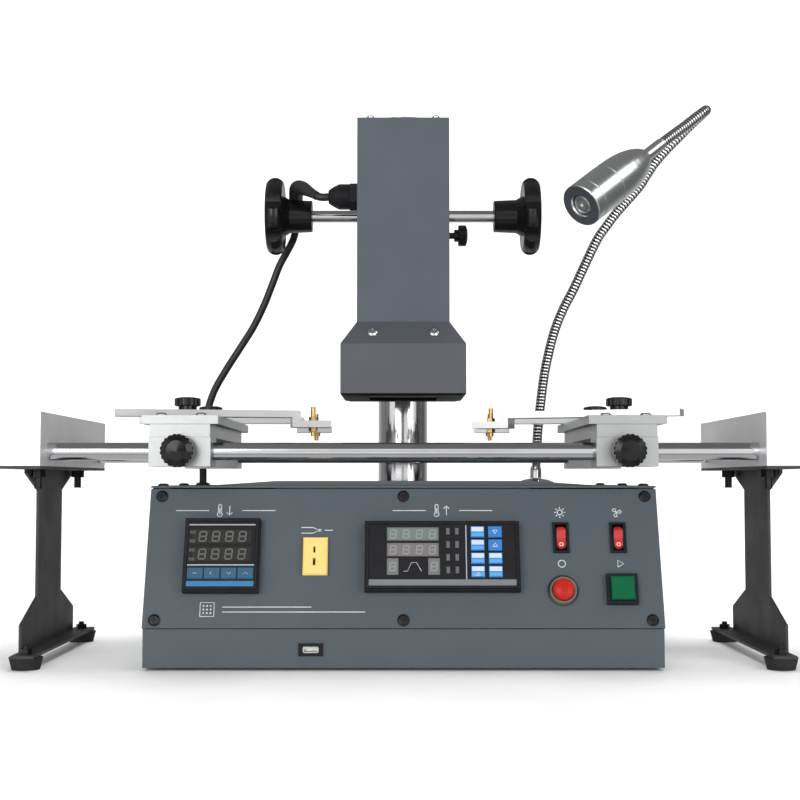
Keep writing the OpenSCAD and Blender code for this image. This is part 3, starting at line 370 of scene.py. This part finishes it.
signs += [[(fan_u - 1.5, button_sign_w - 3.6), (fan_u + 4.5, button_sign_w),
           (fan_u - 1.5, button_sign_w + 3.6), (fan_u - 1.5, button_sign_w - 3.6)]]
panel_signs = line_print("panel_signs", signs, on_panel(0, 0), white_ink)
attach(panel_signs, "station")

# The two temperature controllers: black moulded cases with a printed front film, smoked windows and rubber
# keys. The digits behind the windows are unlit, each of seven bars.
case_front, window_front, key_front = 10.8, 11.52, 13.42
key_first, key_gap = (35.6, 23.6), (17.7, 13.7)


def case_black(finish):
    """Colour and roughness of moulded black plastic, with a fine spark-eroded grain."""
    finish.set(Roughness=finish.range(finish.noise(35, 3), 0.3, 0.7, 0.34, 0.50), Specular_IOR_Level=0.14)
    finish.bump(finish.noise(1600, 2), 0.22, 0.0003)
    return finish.blend(finish.noise(60, 3), (0.008, 0.008, 0.010), (0.018, 0.018, 0.021))


def local(finish, place):
    """The numbers of Object coordinates as seen from a place, in millimetres."""
    seen_from = finish.node("Mapping", {"vector_type": "TEXTURE"}, {
        "Vector": finish.place, "Location": place.to_translation(), "Rotation": place.to_euler(),
        "Scale": (0.001, 0.001, 0.001)})
    return finish.parts(seen_from)


def film_case(name, place, areas):
    """Black case with coloured areas printed on its front: (left, low, right, high, colour)."""
    case = Finish(name)
    u, w, out = local(case, place)
    colour, front = case_black(case), out > case_front
    for left, low, right, high, ink in areas:
        colour = case.blend(front * (u > left) * (u < right) * (w > low) * (w < high), colour, ink)
    case.set(Base_Color=colour)
    return case


smoke, silver, lamp_grey = (0.026, 0.026, 0.024), (0.42, 0.44, 0.47), (0.085, 0.085, 0.080)
key_blue, field_blue, stripe_blue = (0.040, 0.110, 0.180), (0.008, 0.026, 0.050), (0.050, 0.200, 0.400)
lower_areas = [(-30, 10.7, 30, 25.7, smoke), (-30, -7.5, 30, 7.5, smoke),
               (-33.5, 29.7, 33.5, 30.9, silver), (-33.5, -12.1, 33.5, -10.9, silver),
               (-33.8, -27.2, 33.8, -12.3, field_blue), (-33.8, -33.4, 33.8, -28, stripe_blue)]
lower_areas += [(-32.3, w - 1.7, -26.9, w + 1.7, lamp_grey) for w in (22.6, 13.4, 4.0, -5.4)]
lower_areas += [(-33.1 + 16.8 * k, -25.8, -17.3 + 16.8 * k, -14.6, key_blue) for k in range(4)]
dress(film_case("lower_controller_face", on_panel(*lower_at), lower_areas), "lower_controller")

green_grey, pink_grey, pale_grey = (0.165, 0.195, 0.185), (0.190, 0.172, 0.172), (0.180, 0.185, 0.185)
strip_grey, unlit_grey = (0.185, 0.195, 0.210), (0.13, 0.13, 0.13)
key_white, mid_blue, deep_blue = (0.56, 0.66, 0.78), (0.110, 0.360, 0.720), (0.040, 0.200, 0.540)
upper_areas = [(-55.7, 14.7, -3.5, 28.5, green_grey), (-55.7, -1.6, -3.5, 12.2, pink_grey),
               (-55.7, -20.7, -44, -3.5, pale_grey), (-14.3, -20.7, -2.5, -3.5, pale_grey),
               (23.5, -26, 24.5, 31, silver), (-73.8, -31.6, 73.8, -25.4, strip_grey)]
upper_areas += [(u - 1.7, w - 3.4, u + 1.7, w + 3.4, unlit_grey)
                for u in (5.8, 14.9) for w in (24.4, 10.6, -2.7, -15.7)]
for column in (0, 1):
    for row in range(4):
        key_u, key_w = key_first[0] + key_gap[0] * column, key_first[1] - key_gap[1] * row
        upper_areas.append((key_u - 6.9, key_w - 5.8, key_u + 6.9, key_w + 5.8, deep_blue))
        if column == 0 or row > 1:
            upper_areas += [(key_u - 6.1, key_w + 0.3, key_u + 6.1, key_w + 5.0, key_white),
                            (key_u - 6.1, key_w - 4.6, key_u + 6.1, key_w - 0.9, mid_blue)]
dress(film_case("upper_controller_face", on_panel(*upper_at), upper_areas), "upper_controller")


def seven_bars(name, high, wide, thick, slant, places):
    """Unlit digits: one bar is shaped, then copied to the seven places of each digit."""
    bpy.ops.object.select_all(action="DESELECT")
    bpy.ops.mesh.primitive_cube_add(size=1)
    bar = bpy.context.object
    bar.scale = (1, thick, 0.3)
    bpy.ops.object.transform_apply(scale=True)
    bars = []
    tall, flat = (high - thick) / 2, wide - thick
    seven = [(0, tall * k, flat, 0) for k in (-1, 0, 1)]
    seven += [(flat / 2 * i, tall / 2 * j, tall, 90) for i in (-1, 1) for j in (-1, 1)]
    for centre in places:
        lean = Matrix(((1, slant, 0, 0), (0, 1, 0, 0), (0, 0, 1, 0), (0, 0, 0, 1)))
        for x, y, long, turn in seven:
            twin = bar.copy()
            twin.data = bar.data.copy()
            twin.data.transform(Matrix.Diagonal((long - 0.35, 1, 1, 1)))
            bpy.context.scene.collection.objects.link(twin)
            bars.append((twin, centre @ Matrix.Diagonal((0.001, 0.001, 0.001, 1)) @ lean
                         @ Matrix.Translation((x, y, 0)) @ Matrix.Rotation(radians(turn), 4, "Z")))
    bpy.data.objects.remove(bar)
    for twin, _ in bars:
        twin.select_set(True)
    bpy.context.view_layer.objects.active = bars[0][0]
    pick_edges(lambda a, b: abs(a.x - b.x) < 1e-6 and abs(a.y - b.y) < 1e-6, *[twin for twin, _ in bars])
    bpy.ops.mesh.bevel(offset=thick * 0.42, segments=1, affect="EDGES")
    bpy.ops.object.mode_set(mode="OBJECT")
    for twin, place in bars:
        twin.data.transform(place)
    bpy.ops.object.join()
    digits = bpy.context.object
    digits.name = digits.data.name = name
    return digits


def unlit(name, dark, light):
    """Moulded diffuser of an unlit digit."""
    bars = Finish(name, Roughness=0.55)
    bars.set(Base_Color=bars.blend(bars.noise(900, 3), dark, light))
    return bars


digit_out, digit_slant = window_front + 0.12, 0.09
lower_digits = seven_bars("lower_digits", 11.4, 8.2, 1.5, digit_slant, [
    on_panel(lower_at[0] + u, lower_at[1] + w, digit_out)
    for w in (18.2, -0.2) for u in (-19.3, -6.0, 7.4, 20.6)])
dress(unlit("smoked_digits", (0.085, 0.083, 0.076), (0.130, 0.128, 0.118)), lower_digits)
upper_digits = seven_bars("upper_digits", 9.6, 7.0, 1.2, digit_slant, [
    on_panel(upper_at[0] + u, upper_at[1] + w, digit_out)
    for w in (21.6, 5.3) for u in (-49.4, -36.2, -23.0, -9.8)]
    + [on_panel(upper_at[0] + u, upper_at[1] - 12.1, digit_out) for u in (-49.8, -8.4)])
dress(unlit("pale_digits", (0.235, 0.265, 0.255), (0.290, 0.315, 0.305)), upper_digits)
ramp_sign = line_print("ramp_sign", [[(-39, -17), (-35, -17), (-31, -8), (-26, -8), (-21, -17)]],
                       on_panel(*upper_at, 12.22), white_ink, 0.6)


def triangle(u, half, base_w, tip_w):
    """Closed outline of a triangle sign."""
    return [(u - half, base_w), (u + half, base_w), (u, tip_w), (u - half, base_w)]


key_signs = line_print("key_signs", [
    triangle(53.3, 2.4, 25.2, 21.8), triangle(53.3, 2.4, 8.3, 11.7), triangle(35.6, 2.2, -21.6, -18.6)],
    on_panel(*upper_at, key_front), white_ink)
lower_signs = line_print("lower_key_signs", [
    [(-27.2, -20.2), (-23.2, -20.2)], [(-8.4, -22), (-10.6, -20.2), (-8.4, -18.4)],
    [(6.2, -18.9), (8.4, -21.5), (10.6, -18.9)], [(23, -21.5), (25.2, -18.9), (27.4, -21.5)]],
    on_panel(*lower_at, key_front), white_ink, 0.5)
for piece in (lower_digits, upper_digits, ramp_sign, key_signs, lower_signs):
    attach(piece, "station")

# Yellow thermocouple socket, moulded in a warm, slightly glossy plastic.
yellow = Finish("yellow_moulding")
yellow.set(Base_Color=yellow.blend(yellow.noise(80, 3), (0.84, 0.58, 0.15), (0.94, 0.70, 0.25)),
           Roughness=yellow.range(yellow.noise(50, 2), 0.3, 0.7, 0.34, 0.46))
yellow.bump(yellow.noise(1500, 2), 0.12, 0.0003)
dress(yellow, "sensor_socket")

# USB socket in the sill: a black surround with a pale contact tongue, round a drawn and plated steel shell.
# The shell is a rounded box, hollowed from its front.
usb_at = Matrix.Translation((-0.092, front_edge, 0.021)) @ Matrix.Rotation(pi / 2, 4, "X")
usb_black = Finish("usb_plastic")
u, w, out = local(usb_black, usb_at)
tongue = (abs(u) < 6.7) * (abs(w - 1.4) < 1.0) * (out < 0.4)
usb_black.set(Base_Color=usb_black.blend(tongue, case_black(usb_black), (0.62, 0.62, 0.60)))
dress(usb_black, "usb_socket")
shell_size, shell_wall, shell_depth = (15.6, 6.1, 13), 0.7, 12
bpy.ops.object.select_all(action="DESELECT")
bpy.ops.mesh.primitive_cube_add(size=1, location=(0, 0, -5))
shell = bpy.context.object
shell.name = shell.data.name = "usb_shell"
shell.scale = shell_size
bpy.ops.object.transform_apply(location=True, scale=True)
pick_edges(lambda a, b: abs(a.z - b.z) > 1, shell)
bpy.ops.mesh.bevel(offset=1.5, segments=4, affect="EDGES")
bpy.ops.mesh.select_mode(type="FACE")
bpy.ops.mesh.select_all(action="DESELECT")
bpy.ops.object.mode_set(mode="OBJECT")
for face in shell.data.polygons:
    face.select = face.normal.z > 0.9
bpy.ops.object.mode_set(mode="EDIT")
bpy.ops.mesh.inset(thickness=shell_wall, depth=0)
bpy.ops.mesh.extrude_region_move(TRANSFORM_OT_translate={"value": (0, 0, -shell_depth)})
bpy.ops.object.mode_set(mode="OBJECT")
shell.data.transform(usb_at @ Matrix.Diagonal((0.001, 0.001, 0.001, 1)))
plated = Finish("plated_shell", Metallic=1.0)
plated.set(Base_Color=plated.blend(plated.noise(200, 3), (0.62, 0.62, 0.60), (0.78, 0.78, 0.76)),
           Roughness=plated.range(plated.noise(150, 2), 0.3, 0.7, 0.22, 0.36))
plated.bump(plated.noise(900, 2), 0.05, 0.0002)
dress(plated, shell)
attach(shell, "station")

# Frames of the switches, moulded in black; the stop button's ring is a plated turning.
# Behind them sit the mains inlet, the relays and the supply; the inlet and the relays are in the same black.
frames = Finish("switch_frames")
u, w, out = local(frames, on_panel(lighting_u, button_w))
far = (u * u + w * w).root()
ring = (far > 11.45) * (far < 18) * (out > 0)
frames.set(Base_Color=frames.blend(ring, case_black(frames), (0.20, 0.185, 0.165)), Metallic=ring)
dress(frames, "switch_bezels")
grained = Finish("grained_black_plastic")
grained.set(Base_Color=case_black(grained))
dress(grained, "power_inlet", "relays", "cable_gland", "fan_frame", "fan_rotor")

# Push buttons and rockers: glossy moulded plastic. Each rocker is black with a red lens along its middle,
# and a ring printed at its lower end.
def tinted(name, dark, light, rough):
    """Glossy moulded plastic of one colour."""
    plastic = Finish(name, Specular_IOR_Level=0.15)
    plastic.set(Base_Color=plastic.blend(plastic.noise(90, 3), dark, light),
                Roughness=plastic.range(plastic.noise(60, 2), 0.3, 0.7, rough - 0.05, rough + 0.05))
    plastic.bump(plastic.noise(1200, 2), 0.05, 0.0003)
    return plastic


dress(tinted("stop_red", (0.40, 0.016, 0.008), (0.49, 0.026, 0.014), 0.30), "stop_button")
dress(tinted("start_green", (0.000, 0.094, 0.034), (0.001, 0.122, 0.048), 0.42), "start_button")
lens_straight, lens_round = 7.4, 4.3
for node, device_u in (("lighting_rocker", lighting_u), ("fan_rocker", fan_u)):
    rocker = Finish(node + "_lens", Coat_Weight=0.5)
    u, w, _ = local(rocker, on_panel(device_u, rocker_w))
    end = (abs(w) > lens_straight) * (abs(w) - lens_straight)
    from_end = (u * u + (w + 7.6) * (w + 7.6)).root()
    red = rocker.blend(rocker.noise(140, 3), (0.42, 0.020, 0.018), (0.56, 0.050, 0.045))
    colour = rocker.blend((u * u + end * end).root() < lens_round, case_black(rocker), red)
    rocker.set(Base_Color=rocker.blend(abs(from_end - 1.7) < 0.4, colour, (0.75, 0.68, 0.66)),
               Roughness=rocker.range(rocker.noise(60, 2), 0.3, 0.7, 0.20, 0.28))
    dress(rocker, node)

# Lower heater: a folded guard in the housing's paint, bare steel at its grid, over six unglazed ceramic
# plates in a steel pan that heat has darkened.
def drawn_metal(name, colour, grain, rough, stretch):
    """Metal with a directional grain."""
    metal = Finish(name, Metallic=1.0)
    lines = metal.noise(grain, 2, 0.5, stretch)
    metal.set(Base_Color=metal.blend(lines, [c * 0.92 for c in colour], colour),
              Roughness=metal.range(lines, 0.3, 0.7, rough - 0.03, rough + 0.04))
    metal.bump(lines, 0.012, 0.0001)
    return metal


heated = drawn_metal("heat_darkened_steel", (0.070, 0.066, 0.062), 300, 0.45, (0.04, 1, 1))
dress(heated, "heater_tray")
guard_low, guard_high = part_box("heater_guard")
guard = Finish("heater_guard_paint")
x, y, z = guard.parts(guard.place)
from_middle = abs(y - (guard_low[1] + guard_high[1]) / 2)
grid = (abs(x) < 0.121) * (from_middle < 0.095) * (z > guard_high[2] - 0.003)
lines = guard.noise(300, 3, 0.6, (0.04, 1, 1))
painted = guard.blend(guard.noise(9, 4), (0.058, 0.066, 0.076), (0.074, 0.084, 0.096))
bare = guard.blend(lines, (0.36, 0.36, 0.37), (0.48, 0.48, 0.49))
guard.set(Base_Color=guard.blend(grid, painted, bare), Metallic=grid,
          Roughness=guard.range(lines, 0.3, 0.7, 0.38, 0.50))
guard.bump(guard.noise(1100, 2), 0.15, 0.0003)
dress(guard, "heater_guard")
ceramic = Finish("heater_ceramic")
ceramic.set(Base_Color=ceramic.blend(ceramic.noise(45, 5), (0.52, 0.47, 0.38), (0.68, 0.64, 0.56)),
            Roughness=ceramic.range(ceramic.noise(140, 3), 0.3, 0.7, 0.62, 0.80))
ceramic.bump(ceramic.noise(800, 4), 0.35, 0.0005)
dress(ceramic, "heater_plates", "upper_heater")

# Hard-chromed column, rails and lamp fittings, with the faint smears of handling.
chrome = Finish("hard_chrome", Metallic=1.0)
chrome.set(Base_Color=chrome.blend(chrome.noise(18, 3), (0.50, 0.50, 0.51), (0.62, 0.62, 0.63)),
           Roughness=chrome.range(chrome.noise(22, 4), 0.35, 0.75, 0.07, 0.16))
chrome.bump(chrome.noise(60, 2), 0.02, 0.0003)
arm_sides = ("left_front", "left_rear", "right_front", "right_rear")
dress(chrome, "column", "rails", "lamp_flange", "gooseneck", "fan_guard", "head_screws", "pinion_shaft",
      *[side + "_bolt" for side in arm_sides])

# Swing block and slide: a dark coated casting on the column, and a milled steel rack behind the head.
charcoal = powder_coat("charcoal_coat", (0.026, 0.026, 0.028), 0.56)
dress(charcoal, "swing_block", "legs")
milled = drawn_metal("milled_steel", (0.42, 0.42, 0.43), 260, 0.36, (1, 1, 0.05))
dress(milled, "slide_rack")

# Handwheels and clamp knobs of glossy black phenolic, polished by hands along their rims.
phenolic = Finish("black_phenolic", Specular_IOR_Level=0.25)
phenolic.set(Base_Color=phenolic.blend(phenolic.noise(50, 4), (0.005, 0.005, 0.006), (0.012, 0.011, 0.011)),
             Roughness=phenolic.range(phenolic.noise(30, 4), 0.3, 0.7, 0.10, 0.20))
phenolic.bump(phenolic.noise(260, 2), 0.06, 0.0004)
dress(phenolic, "handwheels", "swing_lock_knob", "left_rail_knob", "right_rail_knob",
      *[side + "_knob" for side in arm_sides])

# Heater head: a folded box and a flared hood in powder coat, over a matte black bezel. The hood's coat is its
# own copy, toned as the downward-facing hood looks out of the light: painted shade.
head_coat = powder_coat("head_powder_coat", (0.055, 0.068, 0.087), 0.50)
dress(head_coat, "head_shell")
# Painted shade: the hood takes a copy of the coat in the tone it shows facing down, away from the light.
hood_coat_painted_shade = powder_coat("hood_powder_coat_painted_shade", (0.062, 0.066, 0.079), 0.50)
dress(hood_coat_painted_shade, "head_hood")
anodised = powder_coat("black_anodised", (0.006, 0.006, 0.007), 0.55, 0.15)
anodised.set(Specular_IOR_Level=0.06)
dress(anodised, "heater_bezel")

# Head cable: a black rubber-sheathed cable from the gland on the head, behind the left handwheel and down
# through the cover's grommet. A loose braided sleeve covers its upper part, where it bends as the head moves.
cable_d = 0.0088
cable_route = [Vector((x / 1000, (depth - 190) / 1000, z / 1000)) for x, depth, z in (
    (-84, 165, 508), (-94, 165, 508), (-104, 171, 514), (-113, 183, 521), (-120, 198, 526),
    (-124, 215, 528), (-126, 232, 527), (-127, 248, 521), (-127, 261, 509), (-128, 269, 495),
    (-132, 274, 479), (-140, 278, 464), (-149, 281, 448), (-158, 283, 425), (-168, 285, 400),
    (-181, 288, 374), (-197, 291, 349), (-214, 294, 323), (-229, 297, 297), (-238, 300, 270),
    (-243, 303, 242), (-244, 305, 216), (-243, 305, 200), (-243, 305, 186))]
cable_steps, block_point = 6, 10


def smooth_route(points, steps):
    """A smooth line through the points of a route."""
    line = []
    for k in range(len(points) - 1):
        a, b, c, d = (points[min(max(k + j, 0), len(points) - 1)] for j in (-1, 0, 1, 2))
        for step in range(steps):
            t = step / steps
            line.append(0.5 * (2 * b + (c - a) * t + (2 * a - 5 * b + 4 * c - d) * t ** 2
                               + (3 * b - a - 3 * c + d) * t ** 3))
    return line + [points[-1]]


def tube_along(name, line, radius, sides=16):
    """A closed tube along a line, whose radius may vary. Its UV map holds the length in metres and the turn."""
    verts, faces, turns, along = [], [], [], 0.0
    side = Vector((0, 1, 0.2))
    for k, point in enumerate(line):
        ahead = (line[min(k + 1, len(line) - 1)] - line[max(k - 1, 0)]).normalized()
        side = (side - side.dot(ahead) * ahead).normalized()
        over = ahead.cross(side)
        along += (point - line[k - 1]).length if k else 0
        r = radius(along) if callable(radius) else radius
        for j in range(sides):
            turn = 2 * pi * j / sides
            verts.append(point + r * (cos(turn) * side + sin(turn) * over))
        turns.append(along)
    for k in range(len(line) - 1):
        for j in range(sides):
            faces.append((k * sides + j, k * sides + (j + 1) % sides, (k + 1) * sides + (j + 1) % sides,
                          (k + 1) * sides + j))
    faces.append(tuple(range(sides - 1, -1, -1)))
    faces.append(tuple(range((len(line) - 1) * sides, len(line) * sides)))
    mesh = bpy.data.meshes.new(name)
    mesh.from_pydata(verts, [], faces)
    layer = mesh.uv_layers.new(name="along")
    for polygon in mesh.polygons[:-2]:
        polygon.use_smooth = True
        ring, j = divmod(polygon.index, sides)
        for corner, (up, round_) in zip(polygon.loop_indices, ((0, 0), (0, 1), (1, 1), (1, 0))):
            layer.data[corner].uv = (turns[ring + up], (j + round_) / sides)
    piece = bpy.data.objects.new(name, mesh)
    bpy.context.scene.collection.objects.link(piece)
    return piece


def line_length(line):
    """Length along a line's points."""
    return sum((b - a).length for a, b in zip(line, line[1:]))


cable_line = smooth_route(cable_route, cable_steps)
split = block_point * cable_steps
upper_line, lower_line = cable_line[:split + 1], cable_line[split:]
upper_lead = tube_along("head_cable_upper", upper_line, cable_d / 2)
lower_lead = tube_along("head_cable_lower", lower_line, cable_d / 2)


def sleeve_radius(along):
    """The sleeve is gathered at the gland, swells over the bend and is tied down again below it."""
    swell = min(along / 0.034, 1, max(0, (sleeve_length - along) / 0.050))
    return 0.0050 + 0.0032 * (3 * swell ** 2 - 2 * swell ** 3)


sleeve_line = upper_line[8:-3]
sleeve_length = line_length(sleeve_line)
sleeve = tube_along("head_cable_sleeve", sleeve_line, sleeve_radius, 28)
braid = Finish("braided_sleeve")
along, turn, _ = braid.parts(braid.node("UVMap", {"uv_map": "along"}, {}))
strands = [braid.node("Math", {"operation": "SINE"}, {0: along * 1900 + turn * (2 * pi * 9 * way)})
           for way in (1, -1)]
weave = strands[0] * strands[1]
crossing = braid.range(weave, -0.6, 0.6, 0, 1)
braid.set(Base_Color=braid.blend(crossing, (0.006, 0.006, 0.007), (0.030, 0.030, 0.032)),
          Roughness=braid.range(weave, -0.6, 0.6, 0.62, 0.42))
braid.bump(weave, 0.6, 0.0008)
dress(braid, sleeve)
sheath = Finish("rubber_sheath")
sheath.set(Base_Color=sheath.blend(sheath.noise(60, 3), (0.008, 0.008, 0.009), (0.018, 0.018, 0.019)),
           Roughness=sheath.range(sheath.noise(45, 3), 0.3, 0.7, 0.36, 0.52))
sheath.bump(sheath.noise(700, 2), 0.15, 0.0003)
dress(sheath, upper_lead, lower_lead)
for piece in (upper_lead, lower_lead, sleeve):
    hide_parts("head_cable")
for piece in (upper_lead, sleeve):
    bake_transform(piece)
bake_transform(lower_lead)
line_length(upper_line)
line_length(lower_line)

# Gooseneck of the lamp: a steel strip wound into armour, with fine rings along its bend: the rings are ridged
# in shape, and their colour is painted shade in the grooves and a painted highlight on the crests.
# It stands in a ferrule on the foot flange and ends in the neck of the lamp head.
lamp_rear, lamp_face = Vector((0.282, -0.003, 0.563)), Vector((0.195, -0.070, 0.489))
lamp_aim = (lamp_face - lamp_rear).normalized()
neck_route = [Vector((x / 1000, (depth - 190) / 1000, z / 1000)) for x, depth, z in (
    (163, 320, 198), (164, 320, 214), (165, 320, 238), (167, 319, 263), (173, 318, 312), (179, 317, 343),
    (187, 316, 373), (198, 315, 400), (210, 313, 423), (224, 312, 453), (239, 310, 484), (250, 308, 500),
    (262, 307, 516), (276, 305, 532), (290, 303, 548), (299, 301, 562), (309, 298, 577), (323, 294, 593),
    (338, 289, 608), (350, 283, 620), (359, 273, 628), (363, 260, 631), (361, 248, 629), (354, 238, 623),
    (343, 231, 614), (330, 223, 603))] + [lamp_rear - (k * 0.012 - 0.004) * lamp_aim for k in (4, 3, 2, 1, 0)]


def even_steps(line, gap):
    """The same line in equal steps."""
    made, rest = [line[0]], gap
    for a, b in zip(line, line[1:]):
        span = (b - a).length
        while rest <= span:
            made.append(a + (b - a) * (rest / span))
            rest += gap
        rest -= span
    return made


ring_pitch = 0.0040
neck_line = even_steps(smooth_route(neck_route, 8), ring_pitch / 4)
in_foot, in_lamp = 13, 29
armour = tube_along("gooseneck_armour", neck_line[in_foot:-in_lamp],
                    lambda along: 0.0056 + 0.0008 * abs(sin(pi * along / ring_pitch)), 14)
wound = Finish("wound_steel", Metallic=1.0)
along, _, _ = wound.parts(wound.node("UVMap", {"uv_map": "along"}, {}))
crest = abs(wound.node("Math", {"operation": "SINE"}, {0: along * (pi / ring_pitch)}))
# Painted shade and highlight: the grooves are coloured near black and the crests near white, over the ridged
# shape.
groove_shade_crest_light = wound.range(crest, 0.45, 0.75, 0, 1)
wound.set(Base_Color=wound.blend(groove_shade_crest_light, (0.010, 0.010, 0.011), (0.80, 0.80, 0.81)),
          Roughness=wound.range(wound.noise(60, 3), 0.3, 0.7, 0.16, 0.28))
dress(wound, armour)
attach(armour, "lamp")

# Lamp head: turned aluminium, polished fine, with a darker flat front ring round a lens over one diode. The
# lens's bright and dark rings round the yellow diode are painted reflections.
lamp_turn = Euler((0, acos(lamp_aim.z), atan2(lamp_aim.y, lamp_aim.x)))
lamp_place = Matrix.Translation(lamp_rear) @ lamp_turn.to_matrix().to_4x4()
lamp_l = (lamp_face - lamp_rear).length * 1000
turned = Finish("turned_aluminium", Metallic=1.0)
_, _, out = local(turned, lamp_place)
marks = turned.node("TexNoise", {"noise_dimensions": "1D"}, {"W": out * 6, "Scale": 1.0, "Detail": 3.0})
face = out > lamp_l - 1.2
body_colour = turned.blend(marks, (0.66, 0.68, 0.68), (0.74, 0.76, 0.76))
turned.set(Base_Color=turned.blend(face, body_colour, (0.58, 0.59, 0.60)),
           Roughness=turned.range(marks, 0.3, 0.7, 0.24, 0.32))
turned.bump(marks, 0.05, 0.0002)
dress(turned, "lamp_body")
lens_radius = 12
lens = Finish("lamp_lens", Roughness=0.10, Coat_Weight=1.0)
u, w, _ = local(lens, lamp_place)
far = (u * u + w * w).root()
# Painted reflections: bands of bright and dark round the yellow diode stand for the lens and reflector catching
# the light.
lens.set(Base_Color=lens.node("ValToRGB", {"stops": [
    (0.0, (0.85, 0.80, 0.55)), (0.16, (0.70, 0.68, 0.52)), (0.20, (0.06, 0.06, 0.065)),
    (0.36, (0.20, 0.20, 0.21)), (0.40, (0.66, 0.67, 0.68)), (0.62, (0.32, 0.33, 0.34)),
    (0.80, (0.55, 0.56, 0.57)), (0.94, (0.14, 0.14, 0.15))]},
    {0: far * (1 / lens_radius)}), Metallic=lens.range(far, 4.2, 4.6, 0, 0.8))
lens.bump(lens.node("Math", {"operation": "SINE"}, {0: far * 6}), 0.10, 0.0003)
dress(lens, "lamp_lens")

# End blocks of the board frame: bead-blasted light grey aluminium.
blasted = Finish("blasted_aluminium", Metallic=0.75)
blasted.set(Base_Color=blasted.blend(blasted.noise(30, 4), (0.72, 0.72, 0.73), (0.80, 0.80, 0.81)),
            Roughness=blasted.range(blasted.noise(60, 3), 0.3, 0.7, 0.42, 0.56))
blasted.bump(blasted.noise(1400, 3), 0.25, 0.0003)
dress(blasted, "end_blocks")

# Carriages of milled and brushed aluminium, which slide on the rails.
brushed = drawn_metal("carriage_aluminium", (0.40, 0.41, 0.41), 240, 0.38, (1, 0.02, 1))
dress(brushed, "left_carriage", "right_carriage")

# Board arms: brushed aluminium bars, each with a turned brass pin between two brass nuts at its tongue.
pins = {mount["name"]: mount["pos_m"] for mount in frame["record"]["mounts"]
        if mount["name"].endswith("_pin")}
tongue_low, tongue_high, nut_reach, hair = 0.244, 0.2513, 0.0056, 0.00001
for side in arm_sides:
    arm = Finish(side + "_arm_aluminium", Metallic=1.0)
    x, y, z = arm.parts(arm.place)
    pin = pins[side + "_pin"]
    far = ((x - pin[0]) * (x - pin[0]) + (y - pin[1]) * (y - pin[1])).root()
    brass = (far < nut_reach) * (1 - (z > tongue_low - hair) * (z < tongue_high + hair))
    lines = arm.noise(240, 2, 0.5, (0.02, 1, 1))
    bar_colour = arm.blend(lines, (0.44, 0.45, 0.45), (0.50, 0.50, 0.50))
    brass_colour = arm.blend(arm.noise(150, 3), (0.44, 0.29, 0.11), (0.56, 0.39, 0.17))
    arm.set(Base_Color=arm.blend(brass, bar_colour, brass_colour),
            Roughness=arm.range(lines, 0.3, 0.7, 0.30, 0.36))
    arm.bump(lines, 0.012, 0.0001)
    dress(arm, side + "_arm")
